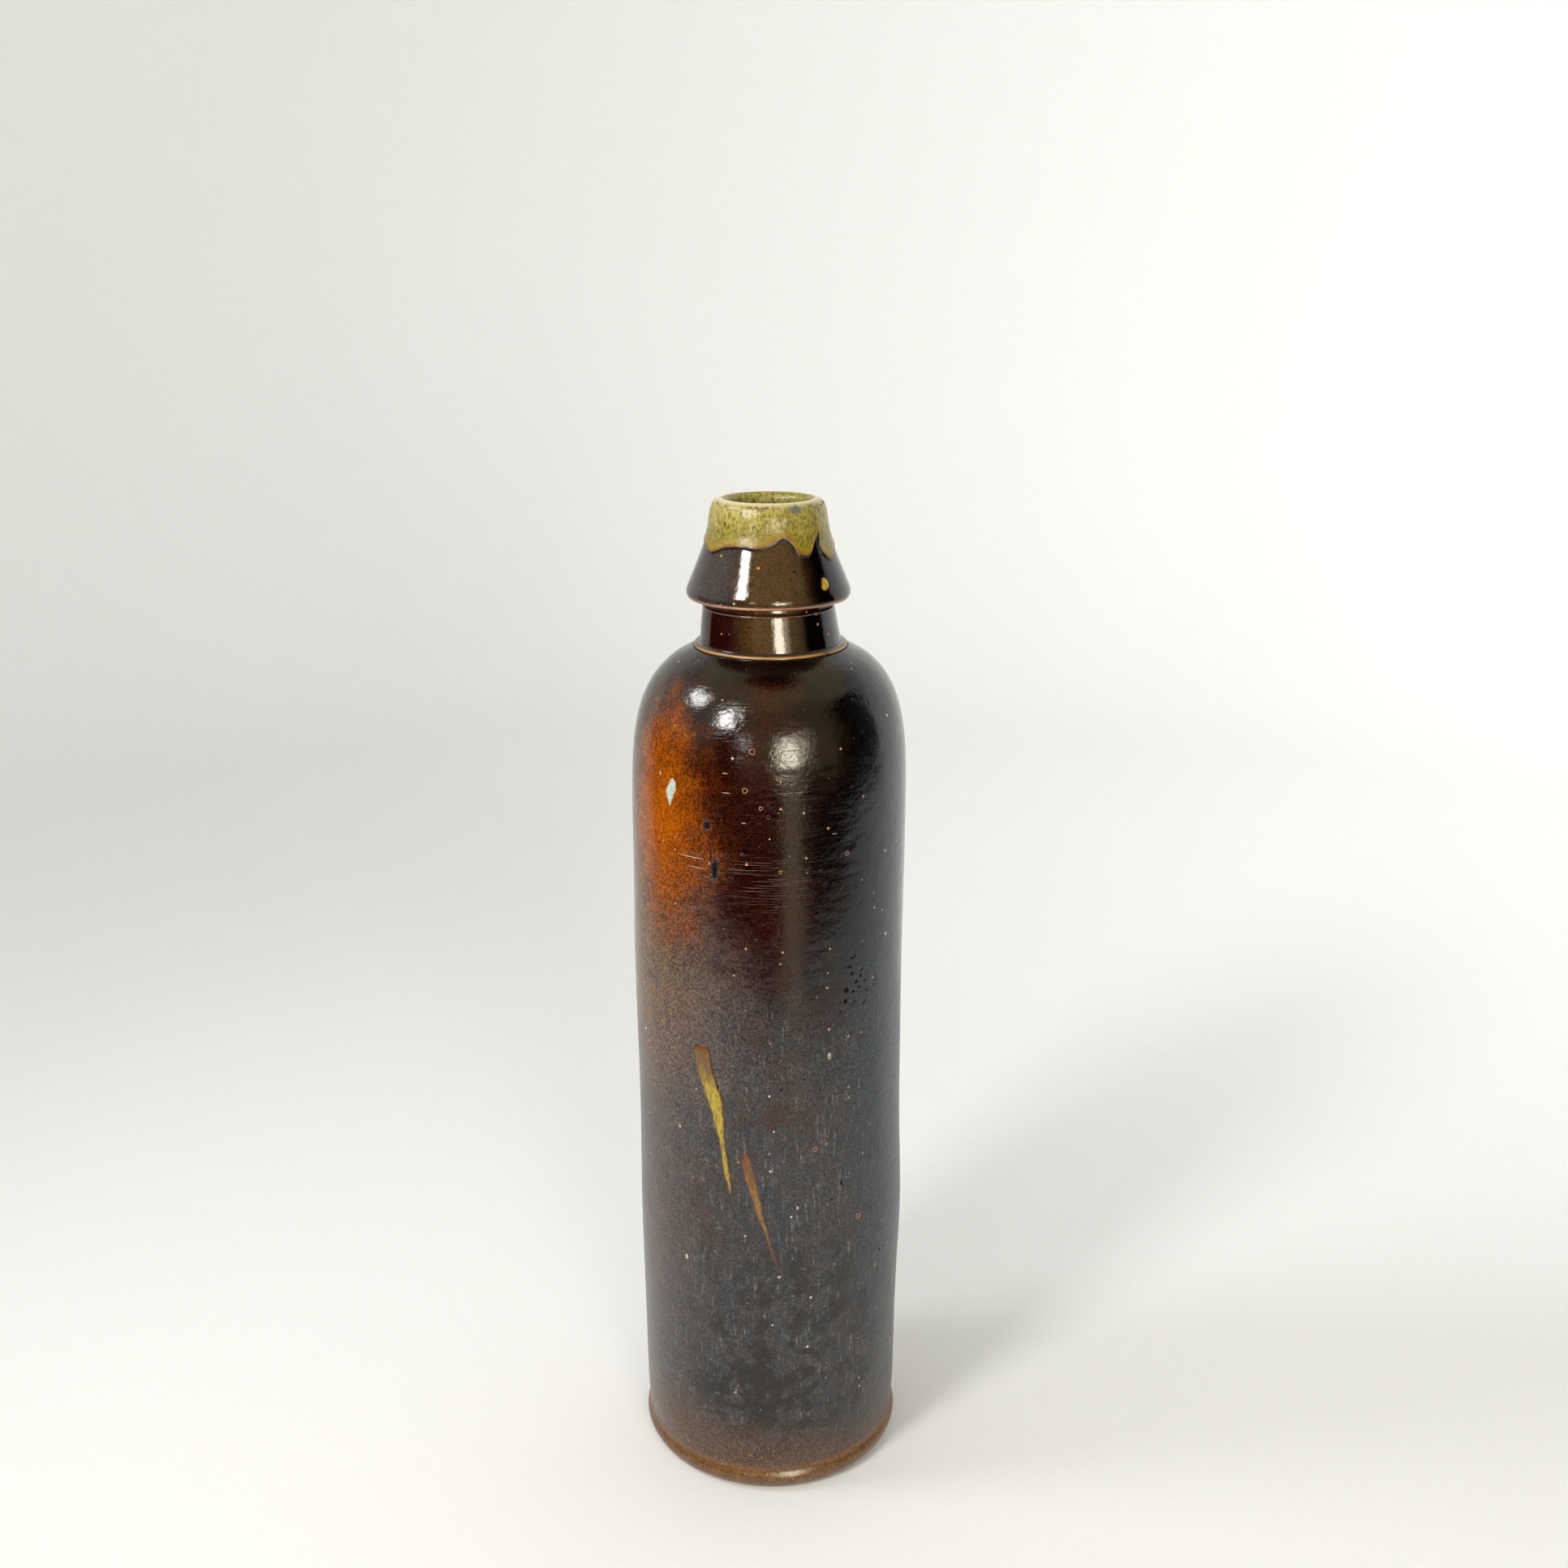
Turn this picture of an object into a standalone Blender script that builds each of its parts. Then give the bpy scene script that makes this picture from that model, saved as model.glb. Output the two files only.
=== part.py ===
# A candle-shaped sake bottle with an umbrella mouth: thrown stoneware sections that are
# luted together with slip, and the glaze coats that lie over them. Metres, +Z up, with the
# origin at the middle of the foot's resting face.
import math

import bmesh
import bpy
import numpy as np

# Overall sizes, from the foot up.
TOTAL_HEIGHT = 0.2800
BODY_RADIUS = 0.0374
SHOULDER_RISE = 0.0521
NECK_RISE = 0.0130
MOUTH_RISE = 0.0260

# Walls, coats and clearances.
WALL = 0.0048
GLAZE = 0.0005
SLIP = 0.0005
GAP = 0.0003

# Foot: a disc with a rounded flange, and a boss that centres the wall on it.
FOOT_HEIGHT = 0.0062
FOOT_GROOVE = 0.0005
FOOT_UNDERCUT = 0.0022
FOOT_BULGE = 0.0013
FOOT_CURL = 0.0012
BOSS_RISE = 0.0020

# Barrel: a low, shallow belly, and the lap where its two thrown sections meet.
BELLY_SWELL = 0.0004
BELLY_HEIGHT = 0.0700
BELLY_SPREAD = 0.0220
WAIST_LAP_DROP = 0.0020
WAIST_LAP = 0.0040

# Shoulder: how far the curve's two handles reach from its ends.
SHOULDER_LOWER_REACH = 0.0280
SHOULDER_UPPER_DROP = 0.0074
SHOULDER_UPPER_BULGE = 0.0004

# Neck: bore, the tenon that carries the mouth, and the ring at its foot.
NECK_BORE_RADIUS = 0.0112
TENON_WALL = 0.0030
NECK_STEP = 0.0022
NECK_FLARE = 0.0018
SPIGOT_DROP = 0.0030
NECK_RING_WIDTH = 0.0018
NECK_RING_RISE = 0.0014
NECK_RING_ROUNDING = 0.0005

# Umbrella collar: its overhang, its rolled rim and the line up to the lip.
RIM_OVERHANG = 0.00455
RIM_UNDERSIDE = 0.0030
RIM_RISE = 0.0016
RIM_LOWER_HANDLE = (0.0006, 0.0)
RIM_UPPER_HANDLE = (-0.0001, -0.0010)
COLLAR_LOWER_HANDLE = (-0.00085, 0.0044)
COLLAR_UPPER_HANDLE = (0.0004, -0.0080)

# Lip, and the seam where it is luted to the collar.
LIP_WALL = 0.00315
LIP_ROUNDING = 0.0025
CREST_SET = 0.0020
LIP_SEAM_DROP = 0.0120
TENON_LAP = 0.0020
BARE_BORE_DROP = 0.0180

# Lower edge of the ash glaze on the collar: its mean drop below the crest, and each run as
# its direction in degrees, half its width in degrees, and its length.
ASH_EDGE_DROP = 0.0100
ASH_RUNS = (
    (-148, 12, 0.0033),
    (-104, 26, 0.0016),
    (-75, 9, -0.0012),
    (-56, 11, 0.0040),
    (-28, 16, 0.0055),
    (18, 22, 0.0026),
    (62, 14, 0.0038),
    (105, 24, 0.0012),
    (150, 16, 0.0030),
)
ASH_HOLD = 0.0055
IRON_HOLD = 0.0050

# Runs and scabs that stand on the glaze: how thick they are, the direction they face in
# degrees, and the points of each spine as sideways, height and width.
PATCH_DEPTH = 0.0005
PATCH_REACH = 0.0080
LONG_RUN_FACING = -112
LONG_RUN = (
    (-0.0041, -0.0500, 0.0050),
    (-0.0033, -0.0580, 0.0054),
    (-0.0004, -0.0650, 0.0050),
    (0.0012, -0.0750, 0.0024),
    (0.0028, -0.0860, 0.0022),
    (0.0043, -0.0930, 0.0008),
)
SHORT_RUN_FACING = -97
SHORT_RUN = (
    (-0.0014, -0.0820, 0.0024),
    (-0.0006, -0.0870, 0.0019),
    (0.0006, -0.0940, 0.0013),
    (0.0017, -0.0985, 0.0008),
)
DROP_FACING = -45
DROP = (
    (0.0004, 0.0087, 0.0010),
    (0.0001, 0.0074, 0.0020),
    (-0.0001, 0.0058, 0.0012),
)
FLAKE_FACING = -132.5
FLAKE = (
    (0.0008, 0.0228, 0.0010),
    (0.0004, 0.0208, 0.0030),
    (-0.0004, 0.0184, 0.0034),
    (-0.0002, 0.0156, 0.0012),
)

# Facets round a turned piece, more round a coat with an uneven edge, and points along each
# part of a profile.
SEGMENTS = 32
FINE_SEGMENTS = 48
FOOT_POINTS = 7
BARREL_POINTS = 9
SHOULDER_POINTS = 10
RIM_POINTS = 5
COLLAR_POINTS = 7
CREST_POINTS = 5
MERGE = 0.00001

# Heights and radii that follow from the sizes above.
COAT = GLAZE + GAP
SEAM = SLIP + 2 * GAP
RIM_HEIGHT = TOTAL_HEIGHT - MOUTH_RISE
SHOULDER_TOP = RIM_HEIGHT - NECK_RISE
SHOULDER_START = SHOULDER_TOP - SHOULDER_RISE
FOOT_TOP_RADIUS = BODY_RADIUS - FOOT_GROOVE
FOOT_REST_RADIUS = FOOT_TOP_RADIUS - FOOT_UNDERCUT
WALL_BASE = FOOT_HEIGHT + SEAM
WAIST_SEAM = SHOULDER_START - WAIST_LAP_DROP - WAIST_LAP
INNER_RADIUS = BODY_RADIUS - COAT - WALL
TENON_RADIUS = NECK_BORE_RADIUS + TENON_WALL
SOCKET_RADIUS = TENON_RADIUS + GAP
NECK_TOP_RADIUS = TENON_RADIUS + NECK_STEP + COAT
NECK_FOOT_RADIUS = NECK_TOP_RADIUS + NECK_FLARE
NECK_RING_BORE = NECK_FOOT_RADIUS - COAT + GAP
NECK_RING_RADIUS = NECK_RING_BORE + NECK_RING_WIDTH
SHOULDER_END_RADIUS = NECK_RING_RADIUS + COAT
RIM_RADIUS = NECK_TOP_RADIUS + RIM_OVERHANG
RIM_INNER_RADIUS = NECK_TOP_RADIUS + RIM_UNDERSIDE
LIP_RADIUS = NECK_BORE_RADIUS + LIP_WALL + COAT
MOUTH_RADIUS = NECK_BORE_RADIUS - COAT
CREST_RADIUS = MOUTH_RADIUS + CREST_SET
LIP_SEAM = TOTAL_HEIGHT - LIP_SEAM_DROP
TENON_TOP = LIP_SEAM + GAP + TENON_LAP
ASH_EDGE = TOTAL_HEIGHT - ASH_EDGE_DROP

# Base colour, roughness and metallic value of each finish.
CLAY = ((0.19, 0.115, 0.075), 0.85, 0.0)
SLIP_CLAY = ((0.14, 0.080, 0.050), 0.90, 0.0)
IRON_GLAZE = ((0.030, 0.012, 0.008), 0.12, 0.0)
ASH_GLAZE = ((0.30, 0.27, 0.085), 0.25, 0.0)
PALE_SCAB = ((0.42, 0.50, 0.40), 0.45, 0.0)


def bezier(points, count):
    # Points along a cubic curve from its two ends and two handles.
    ends = np.array(points)
    share = np.linspace(0.0, 1.0, count)[:, None]
    back = 1.0 - share
    line = back**3 * ends[0] + 3 * back**2 * share * ends[1]
    line = line + 3 * back * share**2 * ends[2] + share**3 * ends[3]
    return [tuple(point) for point in line]


def inset(points, distance):
    # The line moved to its left by a distance, with mitred corners.
    points = np.array(points)
    legs = np.diff(points, axis=0)
    normals = np.column_stack([-legs[:, 1], legs[:, 0]])
    normals /= np.linalg.norm(normals, axis=1)[:, None]
    before = np.vstack([normals[:1], normals])
    after = np.vstack([normals, normals[-1:]])
    turn = 1.0 + (before * after).sum(axis=1)
    moved = points + distance * (before + after) / turn[:, None]
    return [tuple(point) for point in moved]


def clip(line, low, high):
    # The part of a rising line between two heights.
    radii = [point[0] for point in line]
    heights = [point[1] for point in line]
    kept = [point for point in line if low + MERGE < point[1] < high - MERGE]
    start = max(low, heights[0])
    end = min(high, heights[-1])
    first = (float(np.interp(start, heights, radii)), start)
    last = (float(np.interp(end, heights, radii)), end)
    return [first, *kept, last]


def barrel_line(depth, low, high):
    # The barrel's side, rising, at a depth under the glazed face.
    heights = np.linspace(low, high, BARREL_POINTS)
    swell = BELLY_SWELL * np.exp(-(((heights - BELLY_HEIGHT) / BELLY_SPREAD) ** 2))
    return [(BODY_RADIUS + s - depth, z) for s, z in zip(swell, heights)]


def shoulder_line(depth):
    # The shoulder, rising from the barrel to the neck ring.
    handles = (
        (BODY_RADIUS, SHOULDER_START),
        (BODY_RADIUS, SHOULDER_START + SHOULDER_LOWER_REACH),
        (BODY_RADIUS + SHOULDER_UPPER_BULGE, SHOULDER_TOP - SHOULDER_UPPER_DROP),
        (SHOULDER_END_RADIUS, SHOULDER_TOP),
    )
    return bezier(inset(handles, depth), SHOULDER_POINTS)


def neck_line(depth, low, high):
    # The neck's cone between two heights; it is widest where it stands on the shoulder.
    slope = NECK_FLARE / NECK_RISE
    return [(NECK_TOP_RADIUS + slope * (RIM_HEIGHT - z) - depth, z) for z in (low, high)]


def rim_handles():
    rim_top = (RIM_RADIUS, RIM_HEIGHT + RIM_RISE)
    rim_foot = (RIM_INNER_RADIUS, RIM_HEIGHT)
    return (
        rim_foot,
        (rim_foot[0] + RIM_LOWER_HANDLE[0], rim_foot[1] + RIM_LOWER_HANDLE[1]),
        (rim_top[0] + RIM_UPPER_HANDLE[0], rim_top[1] + RIM_UPPER_HANDLE[1]),
        rim_top,
    )


def collar_handles():
    low = (RIM_RADIUS, RIM_HEIGHT + RIM_RISE)
    high = (LIP_RADIUS, TOTAL_HEIGHT - LIP_ROUNDING)
    return (
        low,
        (low[0] + COLLAR_LOWER_HANDLE[0], low[1] + COLLAR_LOWER_HANDLE[1]),
        (high[0] + COLLAR_UPPER_HANDLE[0], high[1] + COLLAR_UPPER_HANDLE[1]),
        high,
    )


def collar_line(depth):
    # From the rim's underside, round the rim and up the umbrella to the lip.
    rim = bezier(inset(rim_handles(), depth), RIM_POINTS)
    return rim + bezier(inset(collar_handles(), depth), COLLAR_POINTS)[1:]


def crest_line(depth):
    # Over the lip, from its outer side to the bore.
    crest = (CREST_RADIUS, TOTAL_HEIGHT)
    side = LIP_ROUNDING / 2
    outer = (
        (LIP_RADIUS, TOTAL_HEIGHT - LIP_ROUNDING),
        (LIP_RADIUS, TOTAL_HEIGHT - LIP_ROUNDING + side),
        (CREST_RADIUS + side, TOTAL_HEIGHT),
        crest,
    )
    inner = (
        crest,
        (MOUTH_RADIUS + CREST_SET - side, TOTAL_HEIGHT),
        (MOUTH_RADIUS, TOTAL_HEIGHT - LIP_ROUNDING + side),
        (MOUTH_RADIUS, TOTAL_HEIGHT - LIP_ROUNDING),
    )
    outer_line = bezier(inset(outer, depth), CREST_POINTS)
    return outer_line + bezier(inset(inner, depth), CREST_POINTS)[1:]


def ash_edge(direction):
    # Height of the ash glaze's lower edge at a direction in degrees.
    height = ASH_EDGE
    for facing, half_width, length in ASH_RUNS:
        turn = (direction - facing + 180) % 360 - 180
        height -= length * math.exp(-((turn / half_width) ** 2) * math.log(2))
    return height


def finish_of(name, finish):
    colour, roughness, metallic = finish
    material = bpy.data.materials.new(name)
    material.use_nodes = True
    shader = material.node_tree.nodes["Principled BSDF"]
    shader.inputs["Base Color"].default_value = (*colour, 1.0)
    shader.inputs["Roughness"].default_value = roughness
    shader.inputs["Metallic"].default_value = metallic
    return material


def turned(name, profile, finish, collection, segments=SEGMENTS):
    # A profile turned round +Z. A profile that starts and ends on the axis stays open there;
    # any other is closed, and set to run down its outer side.
    on_axis = profile[0][0] == 0.0 and profile[-1][0] == 0.0
    following = profile[1:] + profile[:1]
    area = sum(a[0] * b[1] - b[0] * a[1] for a, b in zip(profile, following))
    if area > 0:
        profile = profile[::-1]
    count = len(profile)
    edges = [(i, (i + 1) % count) for i in range(count - on_axis)]
    mesh = bpy.data.meshes.new(name)
    mesh.from_pydata([(r, 0.0, z) for r, z in profile], edges, [])
    mesh.materials.append(finish_of(name, finish))
    piece = bpy.data.objects.new(name, mesh)
    collection.objects.link(piece)
    screw = piece.modifiers.new("turn", "SCREW")
    screw.steps = segments
    screw.render_steps = segments
    screw.use_merge_vertices = True
    screw.merge_threshold = MERGE
    screw.use_smooth_shade = True
    return piece


def washer(name, bore, radius, height, collection):
    # A thin ring of slip, standing clear of the clay below it.
    low = height + GAP
    high = low + SLIP
    profile = [(bore, low), (radius, low), (radius, high), (bore, high)]
    return turned(name, profile, SLIP_CLAY, collection)


def as_mesh(piece):
    # The piece with its modifiers or its curve made into plain faces.
    graph = bpy.context.evaluated_depsgraph_get()
    mesh = bpy.data.meshes.new_from_object(piece.evaluated_get(graph))
    shape = bmesh.new()
    shape.from_mesh(mesh)
    bmesh.ops.remove_doubles(shape, verts=shape.verts, dist=MERGE)
    shape.to_mesh(mesh)
    shape.free()
    made = bpy.data.objects.new(piece.name, mesh)
    made.matrix_world = piece.matrix_world.copy()
    for collection in piece.users_collection:
        collection.objects.link(made)
    name = piece.name
    bpy.data.objects.remove(piece)
    made.name = name
    return made


def slide_edge(piece, line, hold, rest, clearance):
    # Stretches a coat along the collar, from a height that holds still to the uneven edge.
    heights = [point[1] for point in line]
    radii = [point[0] for point in line]
    for vertex in piece.data.vertices:
        x, y, z = vertex.co
        radius = math.hypot(x, y)
        share = (z - hold) / (rest - hold)
        if share <= 0 or radius < CREST_RADIUS:
            continue
        edge = ash_edge(math.degrees(math.atan2(y, x))) - clearance
        height = hold + share * (edge - hold)
        radius_now = radius + np.interp(height, heights, radii) - np.interp(z, heights, radii)
        vertex.co = (x * radius_now / radius, y * radius_now / radius, height)


def patch(name, line, spine, facing, base, finish, collection, cutters):
    # A run or a scab that stands on a turned face: a thin turned band, kept only inside an outline
    # that looks straight out from the axis.
    sides = [(across - width / 2, up) for across, up, width in spine]
    sides += [(across + width / 2, up) for across, up, width in reversed(spine)]
    curve = bpy.data.curves.new(name + "_outline", "CURVE")
    curve.dimensions = "2D"
    curve.fill_mode = "BOTH"
    curve.extrude = PATCH_REACH
    spline = curve.splines.new("POLY")
    spline.points.add(len(sides) - 1)
    for point, (across, up) in zip(spline.points, sides):
        point.co = (across, up, 0.0, 1.0)
    spline.use_cyclic_u = True
    outline = bpy.data.objects.new(name + "_outline", curve)
    turn = math.radians(facing)
    heights = [point[1] for point in line(0.0)]
    radii = [point[0] for point in line(0.0)]
    middle = base + sum(up for _, up, _ in spine) / len(spine)
    radius = float(np.interp(middle, heights, radii))
    outline.location = (radius * math.cos(turn), radius * math.sin(turn), base)
    outline.rotation_euler = (math.radians(90), 0.0, turn + math.radians(90))
    cutters.objects.link(outline)
    bpy.context.view_layer.update()
    outline = as_mesh(outline)
    outline.hide_render = True
    outline.display_type = "WIRE"
    low = base + min(up for _, up, _ in spine) - PATCH_REACH
    high = base + max(up for _, up, _ in spine) + PATCH_REACH
    inner = clip(line(-GAP), low, high)
    outer = clip(line(-GAP - PATCH_DEPTH), low, high)
    piece = turned(name, inner + outer[::-1], finish, collection, FINE_SEGMENTS)
    keep = piece.modifiers.new("keep", "BOOLEAN")
    keep.operation = "INTERSECT"
    keep.solver = "EXACT"
    keep.object = outline
    return piece


def make_foot(collection):
    boss_radius = INNER_RADIUS - GAP
    boss_top = FOOT_HEIGHT + BOSS_RISE
    flange = (
        (FOOT_TOP_RADIUS, FOOT_HEIGHT),
        (FOOT_TOP_RADIUS + FOOT_BULGE, FOOT_HEIGHT - FOOT_CURL),
        (FOOT_TOP_RADIUS + FOOT_BULGE, FOOT_CURL),
        (FOOT_REST_RADIUS, 0.0),
    )
    profile = [(0.0, boss_top), (boss_radius, boss_top), (boss_radius, FOOT_HEIGHT)]
    profile += bezier(flange, FOOT_POINTS)
    profile.append((0.0, 0.0))
    turned("foot_disc", profile, CLAY, collection)
    washer("foot_seam_slip", INNER_RADIUS, FOOT_TOP_RADIUS - COAT, FOOT_HEIGHT, collection)


def make_walls(collection):
    lap_radius = INNER_RADIUS + WALL / 2
    lower = barrel_line(COAT, WALL_BASE, WAIST_SEAM)
    lower += [
        (lap_radius, WAIST_SEAM),
        (lap_radius, WAIST_SEAM + WAIST_LAP),
        (INNER_RADIUS, WAIST_SEAM + WAIST_LAP),
        (INNER_RADIUS, WALL_BASE),
    ]
    turned("lower_wall", lower, CLAY, collection)
    washer("waist_seam_slip", lap_radius + GAP, BODY_RADIUS - COAT, WAIST_SEAM, collection)

    outer = shoulder_line(COAT)
    inner = shoulder_line(COAT + WALL)
    seat = outer[-1][1]
    upper = [(BODY_RADIUS - COAT, WAIST_SEAM + SEAM), *outer]
    upper += [(SOCKET_RADIUS, seat), (SOCKET_RADIUS, inner[-1][1])]
    upper += inner[::-1]
    upper += [
        (INNER_RADIUS, WAIST_SEAM + WAIST_LAP + GAP),
        (lap_radius + GAP, WAIST_SEAM + WAIST_LAP + GAP),
        (lap_radius + GAP, WAIST_SEAM + SEAM),
    ]
    turned("shoulder_wall", upper, CLAY, collection)
    return seat


def make_neck(seat, collection):
    neck_base = seat + SEAM
    step = RIM_HEIGHT - SEAM
    cone = neck_line(COAT, neck_base, step)
    profile = [(NECK_BORE_RADIUS, seat - SPIGOT_DROP), (TENON_RADIUS, seat - SPIGOT_DROP)]
    profile += [(TENON_RADIUS, neck_base), *cone]
    profile += [(TENON_RADIUS, step), (TENON_RADIUS, TENON_TOP), (NECK_BORE_RADIUS, TENON_TOP)]
    turned("neck_tube", profile, CLAY, collection)
    washer("neck_seam_slip", SOCKET_RADIUS, NECK_FOOT_RADIUS - COAT - GAP, seat, collection)

    ring_base = seat + GAP
    ring_top = SHOULDER_TOP + NECK_RING_RISE
    ring = [
        (NECK_RING_BORE, ring_base),
        (NECK_RING_RADIUS, ring_base),
        (NECK_RING_RADIUS, ring_top - NECK_RING_ROUNDING),
        (NECK_RING_RADIUS - NECK_RING_ROUNDING, ring_top),
        (NECK_RING_BORE, ring_top),
    ]
    turned("neck_ring", ring, CLAY, collection)
    return ring_top


def make_mouth(collection):
    step = RIM_HEIGHT - SEAM
    washer("collar_seam_slip", SOCKET_RADIUS, NECK_TOP_RADIUS - COAT, step, collection)

    outer = clip(collar_line(COAT), RIM_HEIGHT, LIP_SEAM)
    lip_edge = RIM_INNER_RADIUS - GAP
    collar = [(SOCKET_RADIUS, RIM_HEIGHT), (lip_edge, RIM_HEIGHT), (lip_edge, outer[0][1])]
    collar += outer
    collar.append((SOCKET_RADIUS, LIP_SEAM))
    turned("umbrella_collar", collar, CLAY, collection)

    lip_base = LIP_SEAM + SEAM
    washer("lip_seam_slip", SOCKET_RADIUS, outer[-1][0] - GAP, LIP_SEAM, collection)
    lip = clip(collar_line(COAT), lip_base, TOTAL_HEIGHT) + crest_line(COAT)[1:]
    lip += [
        (NECK_BORE_RADIUS, TENON_TOP + GAP),
        (SOCKET_RADIUS, TENON_TOP + GAP),
        (SOCKET_RADIUS, lip_base),
    ]
    turned("mouth_lip", lip, CLAY, collection)


def make_coats(ring_top, collection):
    outer = barrel_line(0.0, WALL_BASE, SHOULDER_START) + shoulder_line(0.0)[1:]
    inner = barrel_line(GLAZE, WALL_BASE, SHOULDER_START) + shoulder_line(GLAZE)[1:]
    turned("iron_glaze_body", outer + inner[::-1], IRON_GLAZE, collection)

    low = ring_top + GAP
    high = RIM_HEIGHT - GAP
    neck = neck_line(0.0, low, high) + neck_line(GLAZE, low, high)[::-1]
    turned("iron_glaze_neck", neck, IRON_GLAZE, collection)

    line = collar_line(0.0)
    outer = clip(line, RIM_HEIGHT, ASH_EDGE)
    inner = clip(collar_line(GLAZE), RIM_HEIGHT, ASH_EDGE)
    coat = turned("iron_glaze_collar", outer + inner[::-1], IRON_GLAZE, collection, FINE_SEGMENTS)
    slide_edge(as_mesh(coat), line, RIM_HEIGHT + IRON_HOLD, ASH_EDGE, GAP)

    bore_end = TOTAL_HEIGHT - BARE_BORE_DROP
    outer = clip(line, ASH_EDGE, TOTAL_HEIGHT) + crest_line(0.0)[1:]
    inner = clip(collar_line(GLAZE), ASH_EDGE, TOTAL_HEIGHT) + crest_line(GLAZE)[1:]
    cap = outer + [(MOUTH_RADIUS, bore_end), (MOUTH_RADIUS + GLAZE, bore_end)] + inner[::-1]
    cap = turned("ash_glaze_cap", cap, ASH_GLAZE, collection, FINE_SEGMENTS)
    slide_edge(as_mesh(cap), line, TOTAL_HEIGHT - ASH_HOLD, ASH_EDGE, 0.0)


def make_patches(collection, cutters):
    def body(depth):
        barrel = barrel_line(depth, WALL_BASE, SHOULDER_START)
        return barrel + shoulder_line(depth)[1:]

    start = SHOULDER_START
    rim = RIM_HEIGHT
    scabs = (
        ("ash_glaze_run_long", body, LONG_RUN, LONG_RUN_FACING, start, ASH_GLAZE),
        ("ash_glaze_run_short", body, SHORT_RUN, SHORT_RUN_FACING, start, ASH_GLAZE),
        ("pale_flake", body, FLAKE, FLAKE_FACING, start, PALE_SCAB),
        ("ash_glaze_drop", collar_line, DROP, DROP_FACING, rim, ASH_GLAZE),
    )
    for name, line, spine, facing, base, finish in scabs:
        patch(name, line, spine, facing, base, finish, collection, cutters)


def main():
    for old in list(bpy.data.objects):
        bpy.data.objects.remove(old)
    bottle = bpy.data.collections.new("sake_bottle")
    cutters = bpy.data.collections.new("cutters")
    for collection in (bottle, cutters):
        bpy.context.scene.collection.children.link(collection)
    make_foot(bottle)
    seat = make_walls(bottle)
    ring_top = make_neck(seat, bottle)
    make_mouth(bottle)
    make_coats(ring_top, bottle)
    make_patches(bottle, cutters)


main()
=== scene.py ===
import math

import bpy
import numpy as np
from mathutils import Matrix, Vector
from mathutils.bvhtree import BVHTree


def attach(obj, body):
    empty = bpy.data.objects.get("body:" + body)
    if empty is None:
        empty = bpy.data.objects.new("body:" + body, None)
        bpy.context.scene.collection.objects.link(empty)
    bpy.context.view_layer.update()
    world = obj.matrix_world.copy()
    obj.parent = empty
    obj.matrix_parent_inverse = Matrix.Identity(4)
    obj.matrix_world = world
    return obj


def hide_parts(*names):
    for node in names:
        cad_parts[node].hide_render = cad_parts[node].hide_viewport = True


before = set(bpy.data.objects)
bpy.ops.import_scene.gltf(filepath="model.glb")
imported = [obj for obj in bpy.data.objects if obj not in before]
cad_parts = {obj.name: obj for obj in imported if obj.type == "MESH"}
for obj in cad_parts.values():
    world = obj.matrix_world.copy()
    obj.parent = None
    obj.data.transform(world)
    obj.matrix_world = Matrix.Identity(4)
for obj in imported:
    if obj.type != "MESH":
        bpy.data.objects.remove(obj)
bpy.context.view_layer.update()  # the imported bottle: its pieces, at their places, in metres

bottleBody = "root"  # nothing on the bottle moves, so every piece rides on this one body
mm = 0.001
print("frame loaded:", len(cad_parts), "nodes")


def meridian(node):
    # the outermost line along +X: radius against height, lowest first
    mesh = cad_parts[node].data
    points = [v.co.copy() for v in mesh.vertices]
    tree = BVHTree.FromPolygons(points, [p.vertices[:] for p in mesh.polygons])
    found = {}
    for point in points:
        if abs(point.y) > 1e-6 or point.x <= 0:
            continue
        hit = tree.ray_cast(Vector((1, 1e-5, point.z)), Vector((-1, 0, 0)))[0]
        if hit is None or abs(hit.x - point.x) < 3e-5:
            found[round(point.z, 6)] = point.x
    return np.array([(found[z], z) for z in sorted(found)])


def splineThrough(knots, values, at):
    # natural cubic spline, so that a coarse line reads as a smooth one
    count = len(knots)
    step = np.diff(knots)
    matrix = np.eye(count)
    right = np.zeros(count)
    for i in range(1, count - 1):
        matrix[i, i - 1:i + 2] = step[i - 1], 2 * (step[i - 1] + step[i]), step[i]
        rise = (values[i + 1] - values[i]) / step[i] - (values[i] - values[i - 1]) / step[i - 1]
        right[i] = 6 * rise
    bend = np.linalg.solve(matrix, right)
    i = np.clip(np.searchsorted(knots, at) - 1, 0, count - 2)
    a = (knots[i + 1] - at) / step[i]
    b = 1 - a
    curve = (a**3 - a) * bend[i] + (b**3 - b) * bend[i + 1]
    return a * values[i] + b * values[i + 1] + curve * step[i] ** 2 / 6


def lengthAlong(line):
    # how far each point lies along its line
    return np.concatenate([[0], np.cumsum(np.linalg.norm(np.diff(line, axis=0), axis=1))])


def fineLine(points, count):
    # the same line, smoothed, with many more points evenly spaced along it
    points = np.array(points)
    along = lengthAlong(points)
    at = np.linspace(0, along[-1], count)
    return np.column_stack([splineThrough(along, points[:, k], at) for k in (0, 1)])


def cornerLine(points, count, keepCorners=False):
    # the same line with straight stretches kept straight
    points = np.array(points)
    along = lengthAlong(points)
    at = np.linspace(0, along[-1], count)
    if keepCorners:
        at = np.unique(np.concatenate([along, at]))
    return np.column_stack([np.interp(at, along, points[:, k]) for k in (0, 1)])


def normalsOf(line):
    normal = np.gradient(line, axis=0)
    return normal / np.linalg.norm(normal, axis=1)[:, None]


def latticeValue(i, j, seed):
    # one repeatable number from 0 to 1 for each point of a lattice
    value = np.sin(i * 127.1 + j * 311.7 + seed * 74.7) * 43758.5453
    return value - np.floor(value)


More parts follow.
